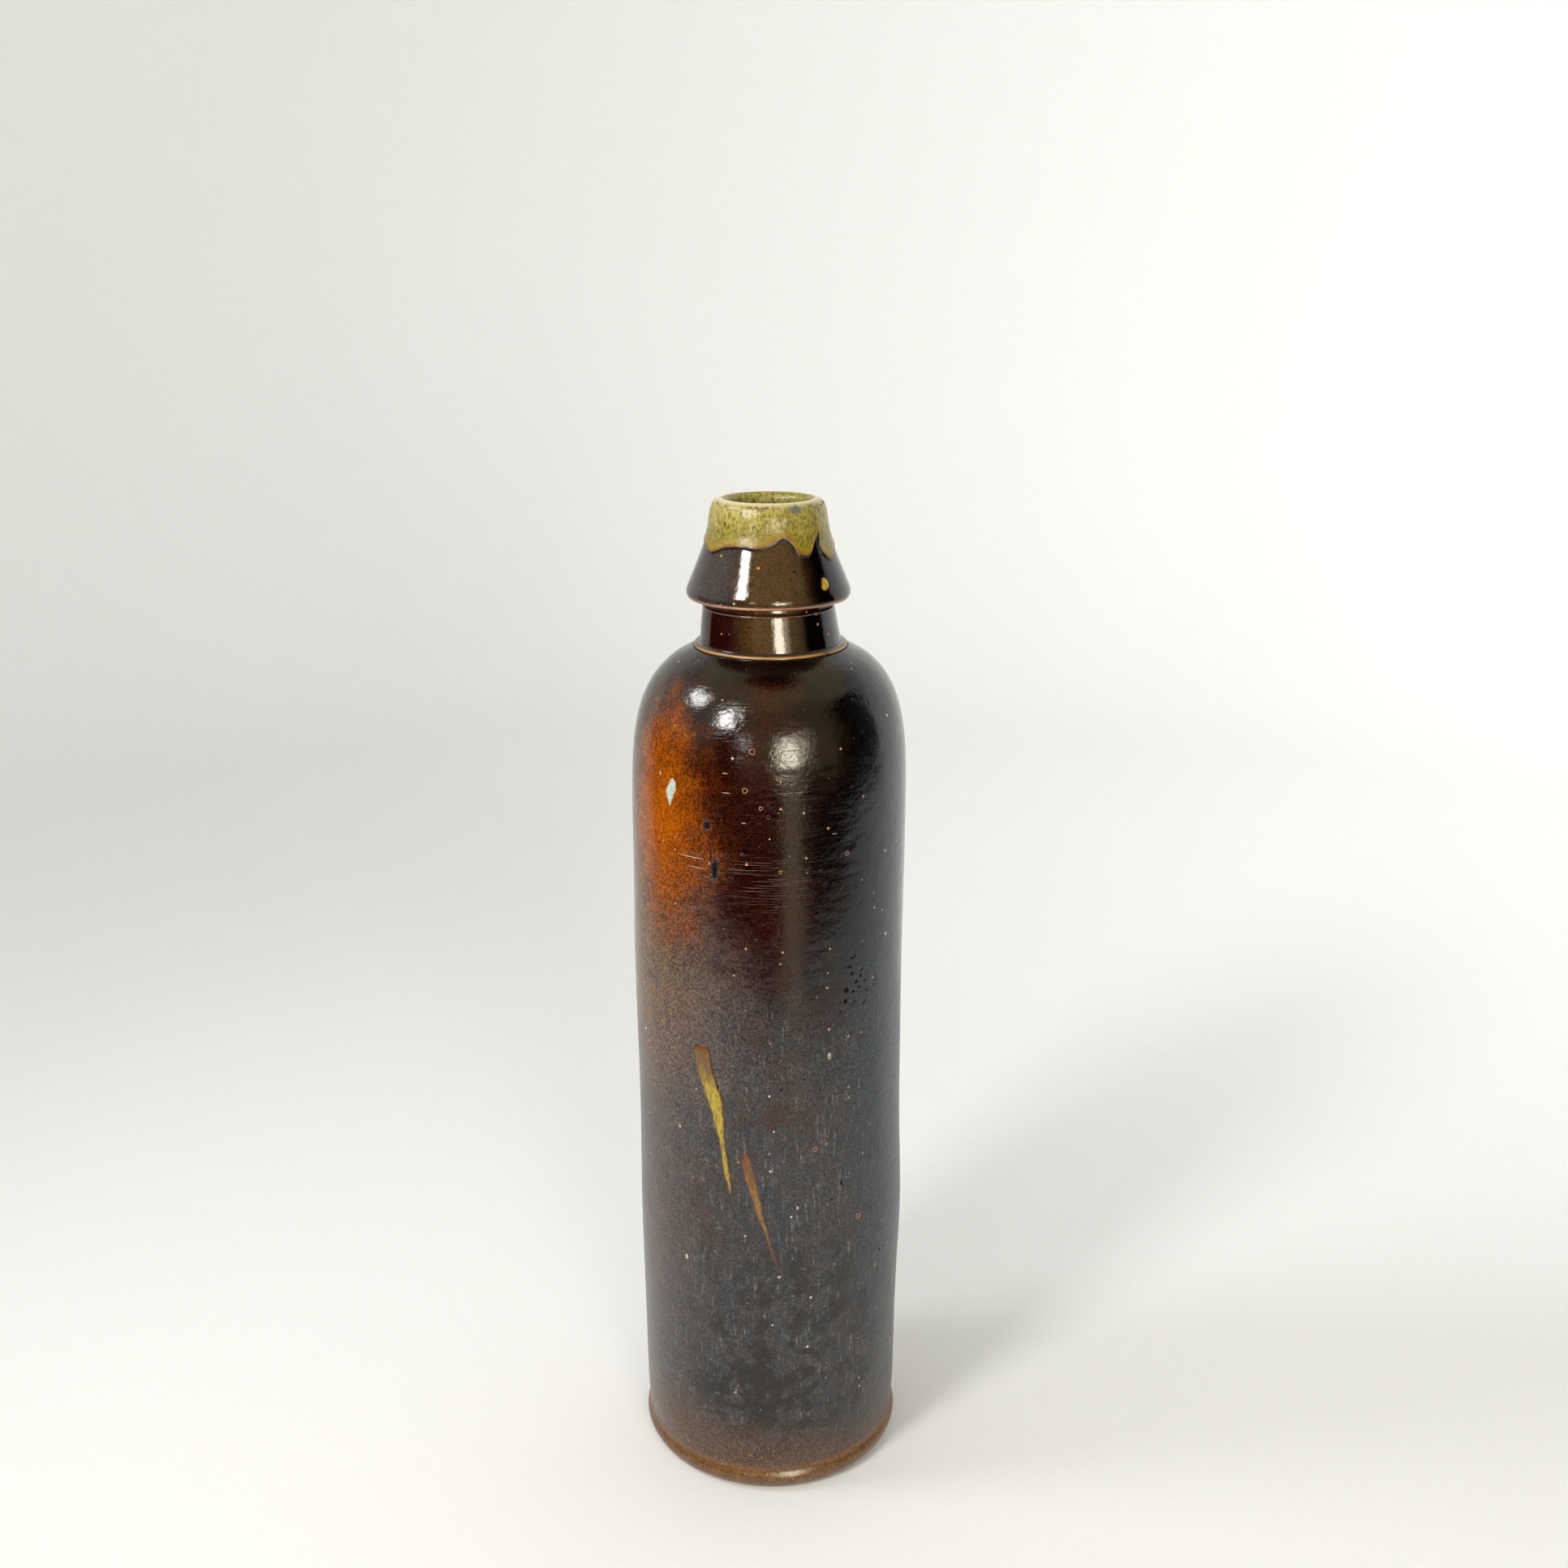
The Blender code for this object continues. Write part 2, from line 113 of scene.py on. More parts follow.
def smoothNoise(u, v, seed, wrap=None):
    # -1 to 1, one bump to a unit; u comes round again after wrap units
    i, j = np.floor(u), np.floor(v)
    s, t = u - i, v - j
    s, t = s * s * (3 - 2 * s), t * t * (3 - 2 * t)
    nextI = i + 1
    if wrap:
        i, nextI = np.mod(i, wrap), np.mod(nextI, wrap)
    low = latticeValue(i, j, seed) * (1 - s) + latticeValue(nextI, j, seed) * s
    high = latticeValue(i, j + 1, seed) * (1 - s) + latticeValue(nextI, j + 1, seed) * s
    return 2 * (low * (1 - t) + high * t) - 1


def bell(x, width):
    return np.exp(-((x / width) ** 2))


def turnBetween(facing, middle):
    # degrees from middle to facing, the short way round
    return np.mod(facing - middle + 180, 360) - 180


handShape = {
    # facing in degrees (0 is the front, 90 the right), height, half spread of each, depth
    "bulges": [
        (85, 78 * mm, 48, 22 * mm, 0.62 * mm),
        (-85, 152 * mm, 50, 26 * mm, 0.42 * mm),
        (88, 150 * mm, 42, 24 * mm, -0.20 * mm),
        (180, 120 * mm, 60, 30 * mm, 0.35 * mm),
        (-40, 96 * mm, 40, 16 * mm, 0.18 * mm),
        (20, 176 * mm, 34, 12 * mm, 0.16 * mm),
        (150, 196 * mm, 45, 18 * mm, 0.25 * mm),
        (-150, 62 * mm, 50, 24 * mm, 0.30 * mm),
    ],
    # the shoulder and the neck ring sit a little to the right of the foot
    "leanHeights": [200 * mm, 222 * mm, 238 * mm, 243 * mm, 247 * mm, 252 * mm],
    "leanShifts": [0, 0.22 * mm, 0.62 * mm, 0.50 * mm, 0.20 * mm, 0],
    "throwing": 0.030 * mm,  # depth of the rings left by the fingers
    "ripple": 0.022 * mm,  # depth of the fine waves in the glaze
}


def handOffset(facing, height):
    # how far the wall stands out of the true turned shape
    out = 0
    for middle, level, turn, rise, depth in handShape["bulges"]:
        out = out + depth * bell(turnBetween(facing, middle), turn) * bell(height - level, rise)
    lean = np.interp(height, handShape["leanHeights"], handShape["leanShifts"])
    return out + lean * np.sin(np.radians(facing))


def fineOffset(facing, height):
    # throwing rings that wander and fade, and the waves of the glaze over them
    turns = facing / 360
    level = height / mm
    wander = 1.6 * smoothNoise(turns * 5, level / 60, 3, 5)
    fade = 0.55 + 0.45 * smoothNoise(turns * 7, level / 21, 5, 7)
    rings = smoothNoise(turns * 2, (level + wander) / 2.9, 7, 2)
    rings = rings + 0.6 * smoothNoise(turns * 3, (level + wander) / 1.3, 9, 3)
    waves = smoothNoise(turns * 62, level / 1.5, 11, 62)
    waves = waves + 0.35 * smoothNoise(turns * 150, level / 0.8, 13, 150)
    return handShape["throwing"] * rings * fade + handShape["ripple"] * waves


def meshPiece(name, points, faces, marks=None):
    # marks: numbers kept on the points, which the glazes read as masks
    mesh = bpy.data.meshes.new(name)
    mesh.from_pydata(np.asarray(points).tolist(), [], faces)
    mesh.validate()
    mesh.shade_smooth()
    for mark, values in (marks or {}).items():
        layer = mesh.attributes.new(mark, "FLOAT", "POINT")
        layer.data.foreach_set("value", np.asarray(values, np.float32).ravel())
    piece = bpy.data.objects.new(name, mesh)
    bpy.context.scene.collection.objects.link(piece)
    return piece


def gridFaces(rows, columns, closeRows, closeColumns, first=0):
    # quads of a grid of points; a closed way joins its last row or column to its first
    i = np.arange(rows if closeRows else rows - 1)
    j = np.arange(columns if closeColumns else columns - 1)
    i, j = [g.ravel() for g in np.meshgrid(i, j, indexing="ij")]
    k, m = (i + 1) % rows, (j + 1) % columns
    quads = np.column_stack([i * columns + j, i * columns + m, k * columns + m, k * columns + j])
    return (quads + first).tolist()


def endFaces(rows, columns, first=0):
    # one face over the first ring of a grid, and one over its last
    last = first + (rows - 1) * columns
    return [list(range(first, first + columns)), list(range(last, last + columns))[::-1]]


def spread(values, facing):
    # one value to a ring, repeated round it
    return values[:, None] + 0 * np.atleast_2d(facing)


def toWorld(facing, radius, height):
    turn = np.radians(facing)
    return np.stack([radius * np.sin(turn), -radius * np.cos(turn), height], axis=-1)


def around(segments):
    return np.arange(segments) / segments * 360 - 180


def ringSolid(name, facing, radius, height, marks=None):
    # a closed loop of rings: rows run up the outside and down the inside
    rows, columns = radius.shape
    points = toWorld(facing, radius, height).reshape(-1, 3)
    return meshPiece(name, points, gridFaces(rows, columns, True, True), marks)


def place(piece, material, slot, *nodes):
    piece.data.materials.append(material)
    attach(piece, bottleBody)
    if nodes:
        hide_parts(*nodes)
    return piece


class Wires:
    # adds nodes to one tree; a number or colour is set, and a socket is linked
    def __init__(self, tree):
        self.tree = tree

    def put(self, kind, values=None, out=0, **settings):
        node = self.tree.nodes.new(kind)
        for name, value in settings.items():
            setattr(node, name, value)
        for socket, value in (values or {}).items():
            self.feed(node.inputs[socket], value)
        return node.outputs[out]

    def feed(self, socket, value):
        if isinstance(value, bpy.types.NodeSocket):
            self.tree.links.new(value, socket)
        elif isinstance(value, tuple) and len(value) == 3 and socket.type == "RGBA":
            socket.default_value = (*value, 1)
        else:
            socket.default_value = value

    def math(self, operation, a, b=0.0, c=0.0, clamp=False):
        values = {0: a, 1: b, 2: c}
        return self.put("ShaderNodeMath", values, operation=operation, use_clamp=clamp)

    def times(self, a, b):
        return self.math("MULTIPLY", a, b)

    def plus(self, a, b, share=None):
        # a and b, or a and a share of b
        return self.math("ADD", a, b if share is None else self.times(b, share))

    def minus(self, a, b, share=None):
        return self.math("SUBTRACT", a, b if share is None else self.times(b, share))

    def swing(self, noise, size):
        # noise that goes to both sides of nothing
        return self.times(self.minus(noise, 0.5), size)

    def azimuth(self, x, y):
        # degrees from the front, the right-hand side positive
        return self.times(self.math("ARCTAN2", x, self.times(y, -1.0)), 180 / math.pi)

    def split(self, vector):
        node = self.tree.nodes.new("ShaderNodeSeparateXYZ")
        self.feed(node.inputs[0], vector)
        return node.outputs

    def mix(self, share, a, b, blend="MIX"):
        values = {"Factor": share, 6: a, 7: b}
        return self.put("ShaderNodeMix", values, 2, data_type="RGBA", blend_type=blend)

    def mixValue(self, share, a, b):
        return self.put("ShaderNodeMix", {"Factor": share, 2: a, 3: b})

    def ramp(self, value, low, high, toLow=0.0, toHigh=1.0):
        # smooth from toLow at low to toHigh at high, and level beyond them
        values = {"Value": value, 1: low, 2: high, 3: toLow, 4: toHigh}
        return self.put("ShaderNodeMapRange", values, interpolation_type="SMOOTHSTEP")

    def noise(self, where, scale, detail=3.0, rough=0.5, stretch=None):
        if stretch:
            where = self.put("ShaderNodeMapping", {"Vector": where, "Scale": stretch})
        values = {"Vector": where, "Scale": scale, "Detail": detail, "Roughness": rough}
        return self.put("ShaderNodeTexNoise", values)

    def mark(self, name):
        return self.put("ShaderNodeAttribute", out=2, attribute_name=name)

    def group(self, group, values, out=0):
        node = self.tree.nodes.new("ShaderNodeGroup")
        node.node_tree = group
        for socket, value in values.items():
            self.feed(node.inputs[socket], value)
        return node.outputs[out]


def newGroup(name, vector, numbers, results, kind="NodeSocketFloat"):
    # a vector and numbers go in; masks and values, or a colour, come out
    group = bpy.data.node_groups.new(name, "ShaderNodeTree")
    group.interface.new_socket(vector, in_out="INPUT", socket_type="NodeSocketVector")
    for socket, value in numbers.items():
        made = group.interface.new_socket(socket, in_out="INPUT", socket_type="NodeSocketFloat")
        made.default_value = value
    for socket in results:
        group.interface.new_socket(socket, in_out="OUTPUT", socket_type=kind)
    inside = group.nodes.new("NodeGroupInput").outputs
    outside = group.nodes.new("NodeGroupOutput").inputs
    return group, Wires(group), inside, outside


def makeUnwrap():
    # facing in degrees and height in millimetres, from a point of the bottle
    group, w, inside, outside = newGroup("unwrap", "Point", {}, ("Facing", "Height"))
    x, y, z = w.split(inside["Point"])
    w.feed(outside["Facing"], w.azimuth(x, y))
    w.feed(outside["Height"], w.times(z, 1000.0))
    return group


def makeZone():
    # a soft patch on the bottle's side, with a ragged edge
    group, w, inside, outside = newGroup("zone", "Point", {
        "Facing": 0.0, "Height": 100.0, "Half Turn": 20.0, "Half Height": 20.0,
        "Softness": 0.5, "Ragged": 0.3, "Grain": 120.0}, ("Mask",))
    facing, level = (w.group(unwrap, {"Point": inside["Point"]}, out) for out in (0, 1))
    off = w.math("WRAP", w.minus(facing, inside["Facing"]), 180.0, -180.0)
    across = w.math("DIVIDE", off, inside["Half Turn"])
    up = w.math("DIVIDE", w.minus(level, inside["Height"]), inside["Half Height"])
    far = w.math("SQRT", w.plus(w.times(across, across), w.times(up, up)))
    grain = w.noise(inside["Point"], inside["Grain"], 5.0, 0.6)
    far = w.plus(far, w.swing(grain, inside["Ragged"]), 2.0)
    low, high = w.minus(1.0, inside["Softness"]), w.plus(1.0, inside["Softness"])
    w.feed(outside["Mask"], w.ramp(far, low, high, 1.0, 0.0))
    return group


def makeSpecks():
    # scattered round specks, each of its own size
    group, w, inside, outside = newGroup(
        "specks", "Point", {"Spacing": 300.0, "Size": 0.2, "Share": 0.3}, ("Mask",))
    cell = group.nodes.new("ShaderNodeTexVoronoi")
    w.feed(cell.inputs["Vector"], inside["Point"])
    w.feed(cell.inputs["Scale"], inside["Spacing"])
    chance = group.nodes.new("ShaderNodeSeparateColor")
    w.feed(chance.inputs[0], cell.outputs["Color"])
    chosen = w.math("LESS_THAN", chance.outputs[0], inside["Share"])
    size = w.times(inside["Size"], w.plus(chance.outputs[1], 0.3))
    dot = w.ramp(w.math("DIVIDE", cell.outputs["Distance"], size), 0.6, 1.0, 1.0, 0.0)
    w.feed(outside["Mask"], w.times(dot, chosen))
    return group


def makeOrangePeel():
    # the height of a glaze's own skin: slow waves, a fine peel and small pinholes
    group, w, inside, outside = newGroup(
        "orangePeel", "Point", {"Wave": 0.5, "Peel": 0.3, "Pits": 0.5}, ("Height",))
    point = inside["Point"]
    wave, peel = w.noise(point, 260.0, 2.0, 0.5), w.noise(point, 1100.0, 3.0, 0.6)
    pits = w.group(specks, {"Point": point, "Spacing": 420.0, "Size": 0.22, "Share": 0.2})
    height = w.plus(w.times(wave, inside["Wave"]), peel, inside["Peel"])
    w.feed(outside["Height"], w.minus(height, pits, inside["Pits"]))
    return group


unwrap = makeUnwrap()
zone = makeZone()
specks = makeSpecks()
orangePeel = makeOrangePeel()


def newMaterial(name):
    material = bpy.data.materials.new(name)
    material.use_nodes = True
    w = Wires(material.node_tree)
    point = w.put("ShaderNodeTexCoord", out=3)
    return material, w, point, material.node_tree.nodes["Principled BSDF"].inputs


def finishMaterial(w, shader, colour, roughness, height, strength, depth):
    # height is the skin's own relief, and depth is how deep it goes, in millimetres
    w.feed(shader["Base Color"], colour)
    w.feed(shader["Roughness"], roughness)
    values = {"Height": height, "Strength": strength, "Distance": depth * mm}
    w.feed(shader["Normal"], w.put("ShaderNodeBump", values))


iron = {
    # colours of the dark glaze
    "black": (0.0010, 0.0006, 0.0005),
    "redBrown": (0.017, 0.0024, 0.0008),
    "amber": (0.270, 0.064, 0.0010),
    "burnt": (0.088, 0.017, 0.0010),
    "slate": (0.013, 0.019, 0.024),
    "violet": (0.029, 0.023, 0.024),
    "plum": (0.064, 0.044, 0.039),
    "blue": (0.014, 0.024, 0.036),
    "silverSheen": (0.150, 0.145, 0.150),
    "tan": (0.118, 0.060, 0.020),
    "cloud": (0.0065, 0.0042, 0.0036),
    "rust": (0.026, 0.012, 0.008),
    "footBrown": (0.072, 0.036, 0.019),
    "footGoldGlow": (0.115, 0.055, 0.020),
    "olive": (0.046, 0.024, 0.007),
    "neckRed": (0.012, 0.0012, 0.0008),
    "speck": (0.50, 0.24, 0.08),
    "cream": (0.62, 0.52, 0.36),
    "worn": (0.16, 0.080, 0.045),
    "scratchGlint": (0.42, 0.36, 0.28),
    "pinholeShade": (0.004, 0.003, 0.003),
}

ironPatches = {
    # facing, height, half turn, half height (mm), softness, raggedness, grain, strength, colour
    "thick": [(-8.0, 185.0, 30.0, 44.0, 0.6, 0.5, 60.0, 0.75, "redBrown"),
              (50.0, 192.0, 38.0, 62.0, 0.5, 0.3, 60.0, 0.92, "black")],
    # dark clouds near the foot, and rusty ones beside the runs
    "clouds": [(*spot, 0.5, 0.6, 110.0, 0.9, tint) for *spot, tint in (
        (12.0, 46.0, 46.0, 34.0, "cloud"), (-12.0, 30.0, 22.0, 14.0, "cloud"),
        (4.0, 119.0, 20.0, 12.0, "rust"), (-31.0, 97.0, 13.0, 8.0, "rust"),
        (-36.0, 84.0, 18.0, 9.0, "rust"), (84.0, 128.0, 30.0, 26.0, "cloud"),
        (150.0, 60.0, 60.0, 34.0, "cloud"), (-140.0, 110.0, 44.0, 40.0, "rust"))],
    # the coat is thin down the left
    "plumLeft": [(-68.0, 104.0, 32.0, 78.0, 0.6, 0.5, 80.0, 0.7, "plum"),
                 (-42.0, 146.0, 32.0, 26.0, 0.6, 0.6, 80.0, 0.75, "plum")],
    "tanLeft": [(-74.0, 176.0, 40.0, 44.0, 0.6, 0.5, 80.0, 0.9, "tan")],
    # bluer at the right, and burnt where the amber will break through
    "right": [(66.0, 140.0, 26.0, 90.0, 0.6, 0.4, 80.0, 0.7, "blue"),
              (-42.0, 198.0, 20.0, 26.0, 0.6, 0.9, 110.0, 1.0, "burnt")],
    "back": [(168.0, 176.0, 34.0, 40.0, 0.7, 0.5, 70.0, 0.8, "burnt"),
             (112.0, 205.0, 20.0, 24.0, 0.7, 0.5, 70.0, 0.5, "burnt")],
    # plum at the left, olive brown in the middle, black at the right
    "umbrella": [(-58.0, 262.0, 34.0, 18.0, 0.5, 0.3, 200.0, 1.0, "violet"),
                 (2.0, 262.0, 26.0, 18.0, 0.5, 0.3, 200.0, 1.0, "olive"),
                 (160.0, 262.0, 60.0, 18.0, 0.6, 0.3, 200.0, 0.7, "redBrown")],
    "neck": [(-44.0, 248.0, 26.0, 16.0, 0.4, 0.3, 200.0, 1.0, "neckRed"),
             (0.0, 248.0, 24.0, 16.0, 0.5, 0.3, 200.0, 1.0, "olive")],
    # short pale streaks: real fine scratches, painted pale for the glint they give
    "scratchGlints": [(*spot, 0.3, 0.8, 900.0, 0.8, "scratchGlint") for spot in (
        (-17.2, 215.6, 1.1, 0.13), (-16.4, 210.6, 1.6, 0.10), (-32.0, 192.2, 6.0, 0.10),
        (-30.0, 189.6, 4.0, 0.08), (-9.5, 203.0, 0.9, 0.11), (27.0, 199.0, 1.0, 0.09))],
}


class IronGlaze:
    # the noises and masks that the dark glaze's colour, shine and relief all read
    def __init__(self):
        self.material, self.w, self.point, self.shader = newMaterial("ironGlaze")
        w = self.w
        self.facing, self.level = (w.group(unwrap, {"Point": self.point}, out) for out in (0, 1))
        self.cloud = w.noise(self.point, 55.0, 6.0, 0.62)
        self.mottle = w.noise(self.point, 300.0, 6.0, 0.72, (1, 1, 0.7))
        self.hair = w.noise(self.point, 1500.0, 4.0, 0.7, (1, 1, 0.11))
        self.grain = w.noise(self.point, 1500.0, 3.0, 0.7)
        self.low = w.ramp(w.plus(self.level, w.swing(self.cloud, 70.0)), 172.0, 122.0)
        self.onFoot = w.ramp(self.level, 9.0, 6.8)
        self.onTop = w.ramp(self.level, 241.0, 243.0)

    def patch(self, *spot):
        sockets = ("Facing", "Height", "Half Turn", "Half Height", "Softness", "Ragged", "Grain")
        return self.w.group(zone, {"Point": self.point, **dict(zip(sockets, spot))})

    def dots(self, spacing, size, share):
        values = {"Point": self.point, "Spacing": spacing, "Size": size, "Share": share}
        return self.w.group(specks, values)

    def tint(self, colour, mask, share, name):
        return self.w.mix(self.w.math("MULTIPLY", mask, share, clamp=True), colour, iron[name])

    def patched(self, colour, which, through=None):
        for *spot, share, name in ironPatches[which]:
            mask = self.patch(*spot)
            if through is not None:
                mask = self.w.times(mask, through)
            colour = self.tint(colour, mask, share, name)
        return colour

    def wallColour(self):
        w, c = self.w, iron
        # thick glaze is black, and thinner glaze turns red-brown
        colour = w.mix(w.ramp(self.cloud, 0.40, 0.62), c["black"], c["redBrown"])
        colour = self.patched(colour, "thick")
        # the lower wall is slate and violet, cloudy, and streaked downwards
        streak = w.noise(self.point, 850.0, 4.0, 0.6, (1, 1, 0.10))
        grey = w.mix(w.ramp(self.mottle, 0.38, 0.66), c["slate"], c["violet"])
        grey = self.tint(grey, w.ramp(self.cloud, 0.46, 0.58), 0.6, "violet")
        grey = self.tint(grey, w.ramp(streak, 0.52, 0.72), 0.45, "plum")
        # fine pale streaks: real streaks of iron crystals, painted pale grey for their metallic sheen
        grey = self.tint(grey, w.ramp(self.hair, 0.55, 0.68), 0.55, "silverSheen")
        colour = w.mix(self.low, colour, grey)
        blotch = w.ramp(w.noise(self.point, 170.0, 6.0, 0.72), 0.46, 0.56)
        colour = self.patched(colour, "clouds", blotch)
        colour = self.patched(colour, "plumLeft")
        colour = self.patched(colour, "tanLeft", w.ramp(self.mottle, 0.30, 0.62, 0.3, 1.0))
        colour = self.patched(colour, "right")
        # amber breaks through on the upper left
        self.glow = w.times(self.patch(-49.0, 201.0, 15.0, 20.0, 0.9, 0.7, 110.0),
                            w.ramp(self.mottle, 0.26, 0.56, 0.5, 1.0))
        colour = w.mix(self.glow, colour, c["amber"])
        colour = self.patched(colour, "back")
        # warm brown towards and on the foot
        side = w.math("SINE", w.times(self.facing, math.pi / 180))
        foot = w.plus(w.plus(self.level, w.swing(self.mottle, 26.0)), side, 6.0)
        colour = self.tint(colour, w.ramp(foot, 28.0, 8.0), 0.85, "footBrown")
        # the foot's lowest band: partly its warm glaze, partly a painted glow of the light along the
        # foot's bottom
        return w.mix(self.onFoot, colour, c["footGoldGlow"])

    def topColour(self, colour):
        w = self.w
        umbrella = self.patched(iron["black"], "umbrella")
        neck = self.patched(iron["black"], "neck")
        # painted shade: the shoulder just under the neck ring is darkened to black for the shade and
        # dark reflection there
        colour = self.tint(colour, w.ramp(self.level, 235.5, 238.5), 0.8, "black")
        return w.mix(self.onTop, colour, w.mix(w.ramp(self.level, 253.0, 252.0), umbrella, neck))

    def dusted(self, colour):
        # crystals, and dust of iron
        w = self.w
        crystals = w.mix(self.mottle, (0.25,) * 3, (1.8, 1.75, 1.7))
        colour = w.mix(w.mixValue(self.glow, 0.6, 0.3), colour, crystals, "MULTIPLY")
        calm = w.math("MAXIMUM", w.math("MAXIMUM", self.onTop, self.onFoot), self.glow)
        dust = w.mix(w.ramp(self.grain, 0.40, 0.62), (0.35,) * 3, (1.9,) * 3)
        return w.mix(w.mixValue(calm, 0.8, 0.4), colour, dust, "MULTIPLY")

    def scratched(self, colour):
        # a scraped band, and fine scratches, that run level; the back has none
        w = self.w
        where = {0: w.times(self.facing, 0.05), 1: w.times(self.level, 3.4), 2: 0.0}
        scrape = w.noise(w.put("ShaderNodeCombineXYZ", where), 1.0, 4.0, 0.6)
        band = self.patch(-4.0, 187.0, 22.0, 6.0, 0.6, 0.4, 200.0)
        faint = w.ramp(w.math("ABSOLUTE", self.facing), 130.0, 170.0, 0.10, 0.0)
        self.scrape = w.times(w.ramp(scrape, 0.56, 0.70), w.plus(w.times(band, 0.7), faint))
        # then the short pale streaks, painted glints of the scratches
        return self.patched(w.mix(self.scrape, colour, iron["burnt"]), "scratchGlints")

    def speckled(self, colour):
        # pinholes, freckles of iron and grains of pale grit
        w = self.w
        holes = w.times(self.dots(330.0, 0.36, 0.45),
                        self.patch(40.0, 154.0, 12.0, 11.0, 0.5, 0.5, 300.0))
        for more in (self.dots(300.0, 0.16, 0.10),
                     self.patch(-24.6, 201.5, 1.6, 1.5, 0.5, 1.2, 900.0),
                     self.patch(-21.4, 190.0, 1.7, 2.6, 0.5, 1.2, 900.0)):
            holes = w.math("MAXIMUM", holes, more)
        self.holes = holes
        self.freckles = w.times(self.dots(330.0, 0.13, 0.30),
                                w.ramp(self.level, 60.0, 150.0, 0.45, 1.0))
        self.creamy = self.dots(200.0, 0.09, 0.30)
        # painted shade: pinholes and scars are coloured near black for the shade inside them
        colour = self.tint(colour, self.holes, 1.0, "pinholeShade")
        colour = self.tint(colour, self.freckles, 0.75, "speck")
        colour = self.tint(colour, self.creamy, 0.9, "cream")
        rubbed = w.ramp(w.plus(w.mark("worn"), w.swing(self.grain, 0.6)), 0.4, 0.8)
        return w.mix(rubbed, colour, iron["worn"])

    def roughness(self):
        w = self.w
        gloss = w.mixValue(self.low, 0.11, 0.28)
        gloss = w.mixValue(self.onTop, gloss, 0.08)
        gloss = w.mixValue(self.onFoot, gloss, 0.15)
        gloss = w.plus(gloss, w.swing(w.noise(self.point, 38.0, 5.0, 0.62), 0.14))
        gloss = w.plus(gloss, w.ramp(self.grain, 0.4, 0.7), 0.05)
        gloss = w.math("MAXIMUM", gloss, w.times(self.creamy, 0.6))
        return w.plus(gloss, w.math("MULTIPLY", self.scrape, 0.3, clamp=True))

    def relief(self):
        w = self.w
        height = w.group(orangePeel, {"Point": self.point, "Wave": 0.9, "Peel": 0.35, "Pits": 0.4})
        height = w.plus(height, self.grain, w.ramp(self.cloud, 0.35, 0.65, 0.12, 0.36))
        height = w.plus(height, w.times(self.hair, self.low), 0.25)
        height = w.minus(height, self.holes, 1.2)
        height = w.plus(height, w.plus(self.freckles, self.creamy), 0.5)
        height = w.minus(height, self.scrape, 0.5)
        return w.times(height, w.mixValue(self.onTop, 1.0, 0.35))


def makeIronGlaze():
    glaze = IronGlaze()
    colour = glaze.dusted(glaze.topColour(glaze.wallColour()))
    colour = glaze.speckled(glaze.scratched(colour))
    glaze.shader["IOR"].default_value = 1.5
    finishMaterial(glaze.w, glaze.shader, colour, glaze.roughness(), glaze.relief(), 0.6, 0.22)
    return glaze.material


def makeRingGlaze():
    # worn is 1 where the glaze is rubbed down to an orange edge
    material, w, point, shader = newMaterial("ringGlaze")
    fine = w.noise(point, 700.0, 5.0, 0.65)
    patchy = w.noise(point, 120.0, 3.0, 0.5)
    worn = w.times(w.mark("worn"), w.ramp(patchy, 0.25, 0.55, 0.55, 1.25))
    worn = w.ramp(w.plus(worn, w.swing(fine, 0.5)), 0.45, 0.80)
    glaze = w.mix(fine, (0.020, 0.014, 0.010), (0.060, 0.040, 0.026))
    edge = w.mix(w.ramp(patchy, 0.35, 0.65), (0.25, 0.090, 0.007), (0.36, 0.165, 0.030))
    shader["IOR"].default_value = 1.65
    peel = w.group(orangePeel, {"Point": point, "Wave": 0.5, "Peel": 0.3, "Pits": 0.4})
    finishMaterial(w, shader, w.mix(worn, glaze, edge), w.mixValue(worn, 0.16, 0.42), peel, 0.4, 0.10)
    return material


def makeBlisterGlaze():
    # burst bubbles: a pale amber rim
    material, w, point, shader = newMaterial("blisterGlaze")
    fine = w.noise(point, 900.0, 4.0, 0.6)
    colour = w.mix(w.ramp(fine, 0.35, 0.65), (0.16, 0.060, 0.016), (0.36, 0.20, 0.075))
    shader["IOR"].default_value = 1.6
    finishMaterial(w, shader, colour, w.ramp(fine, 0.3, 0.7, 0.2, 0.45), fine, 0.3, 0.08)
    return material


ash = {
    # colours of the ash glaze
    "olive": (0.235, 0.190, 0.017),
    "pale": (0.37, 0.315, 0.080),
    "mustard": (0.225, 0.150, 0.003),
    "ochre": (0.150, 0.070, 0.002),
    "outline": (0.010, 0.005, 0.003),
    "speck": (0.080, 0.064, 0.005),
    "cream": (0.84, 0.76, 0.52),
    "bare": (0.085, 0.042, 0.022),
    "greyChip": (0.105, 0.115, 0.085),
}


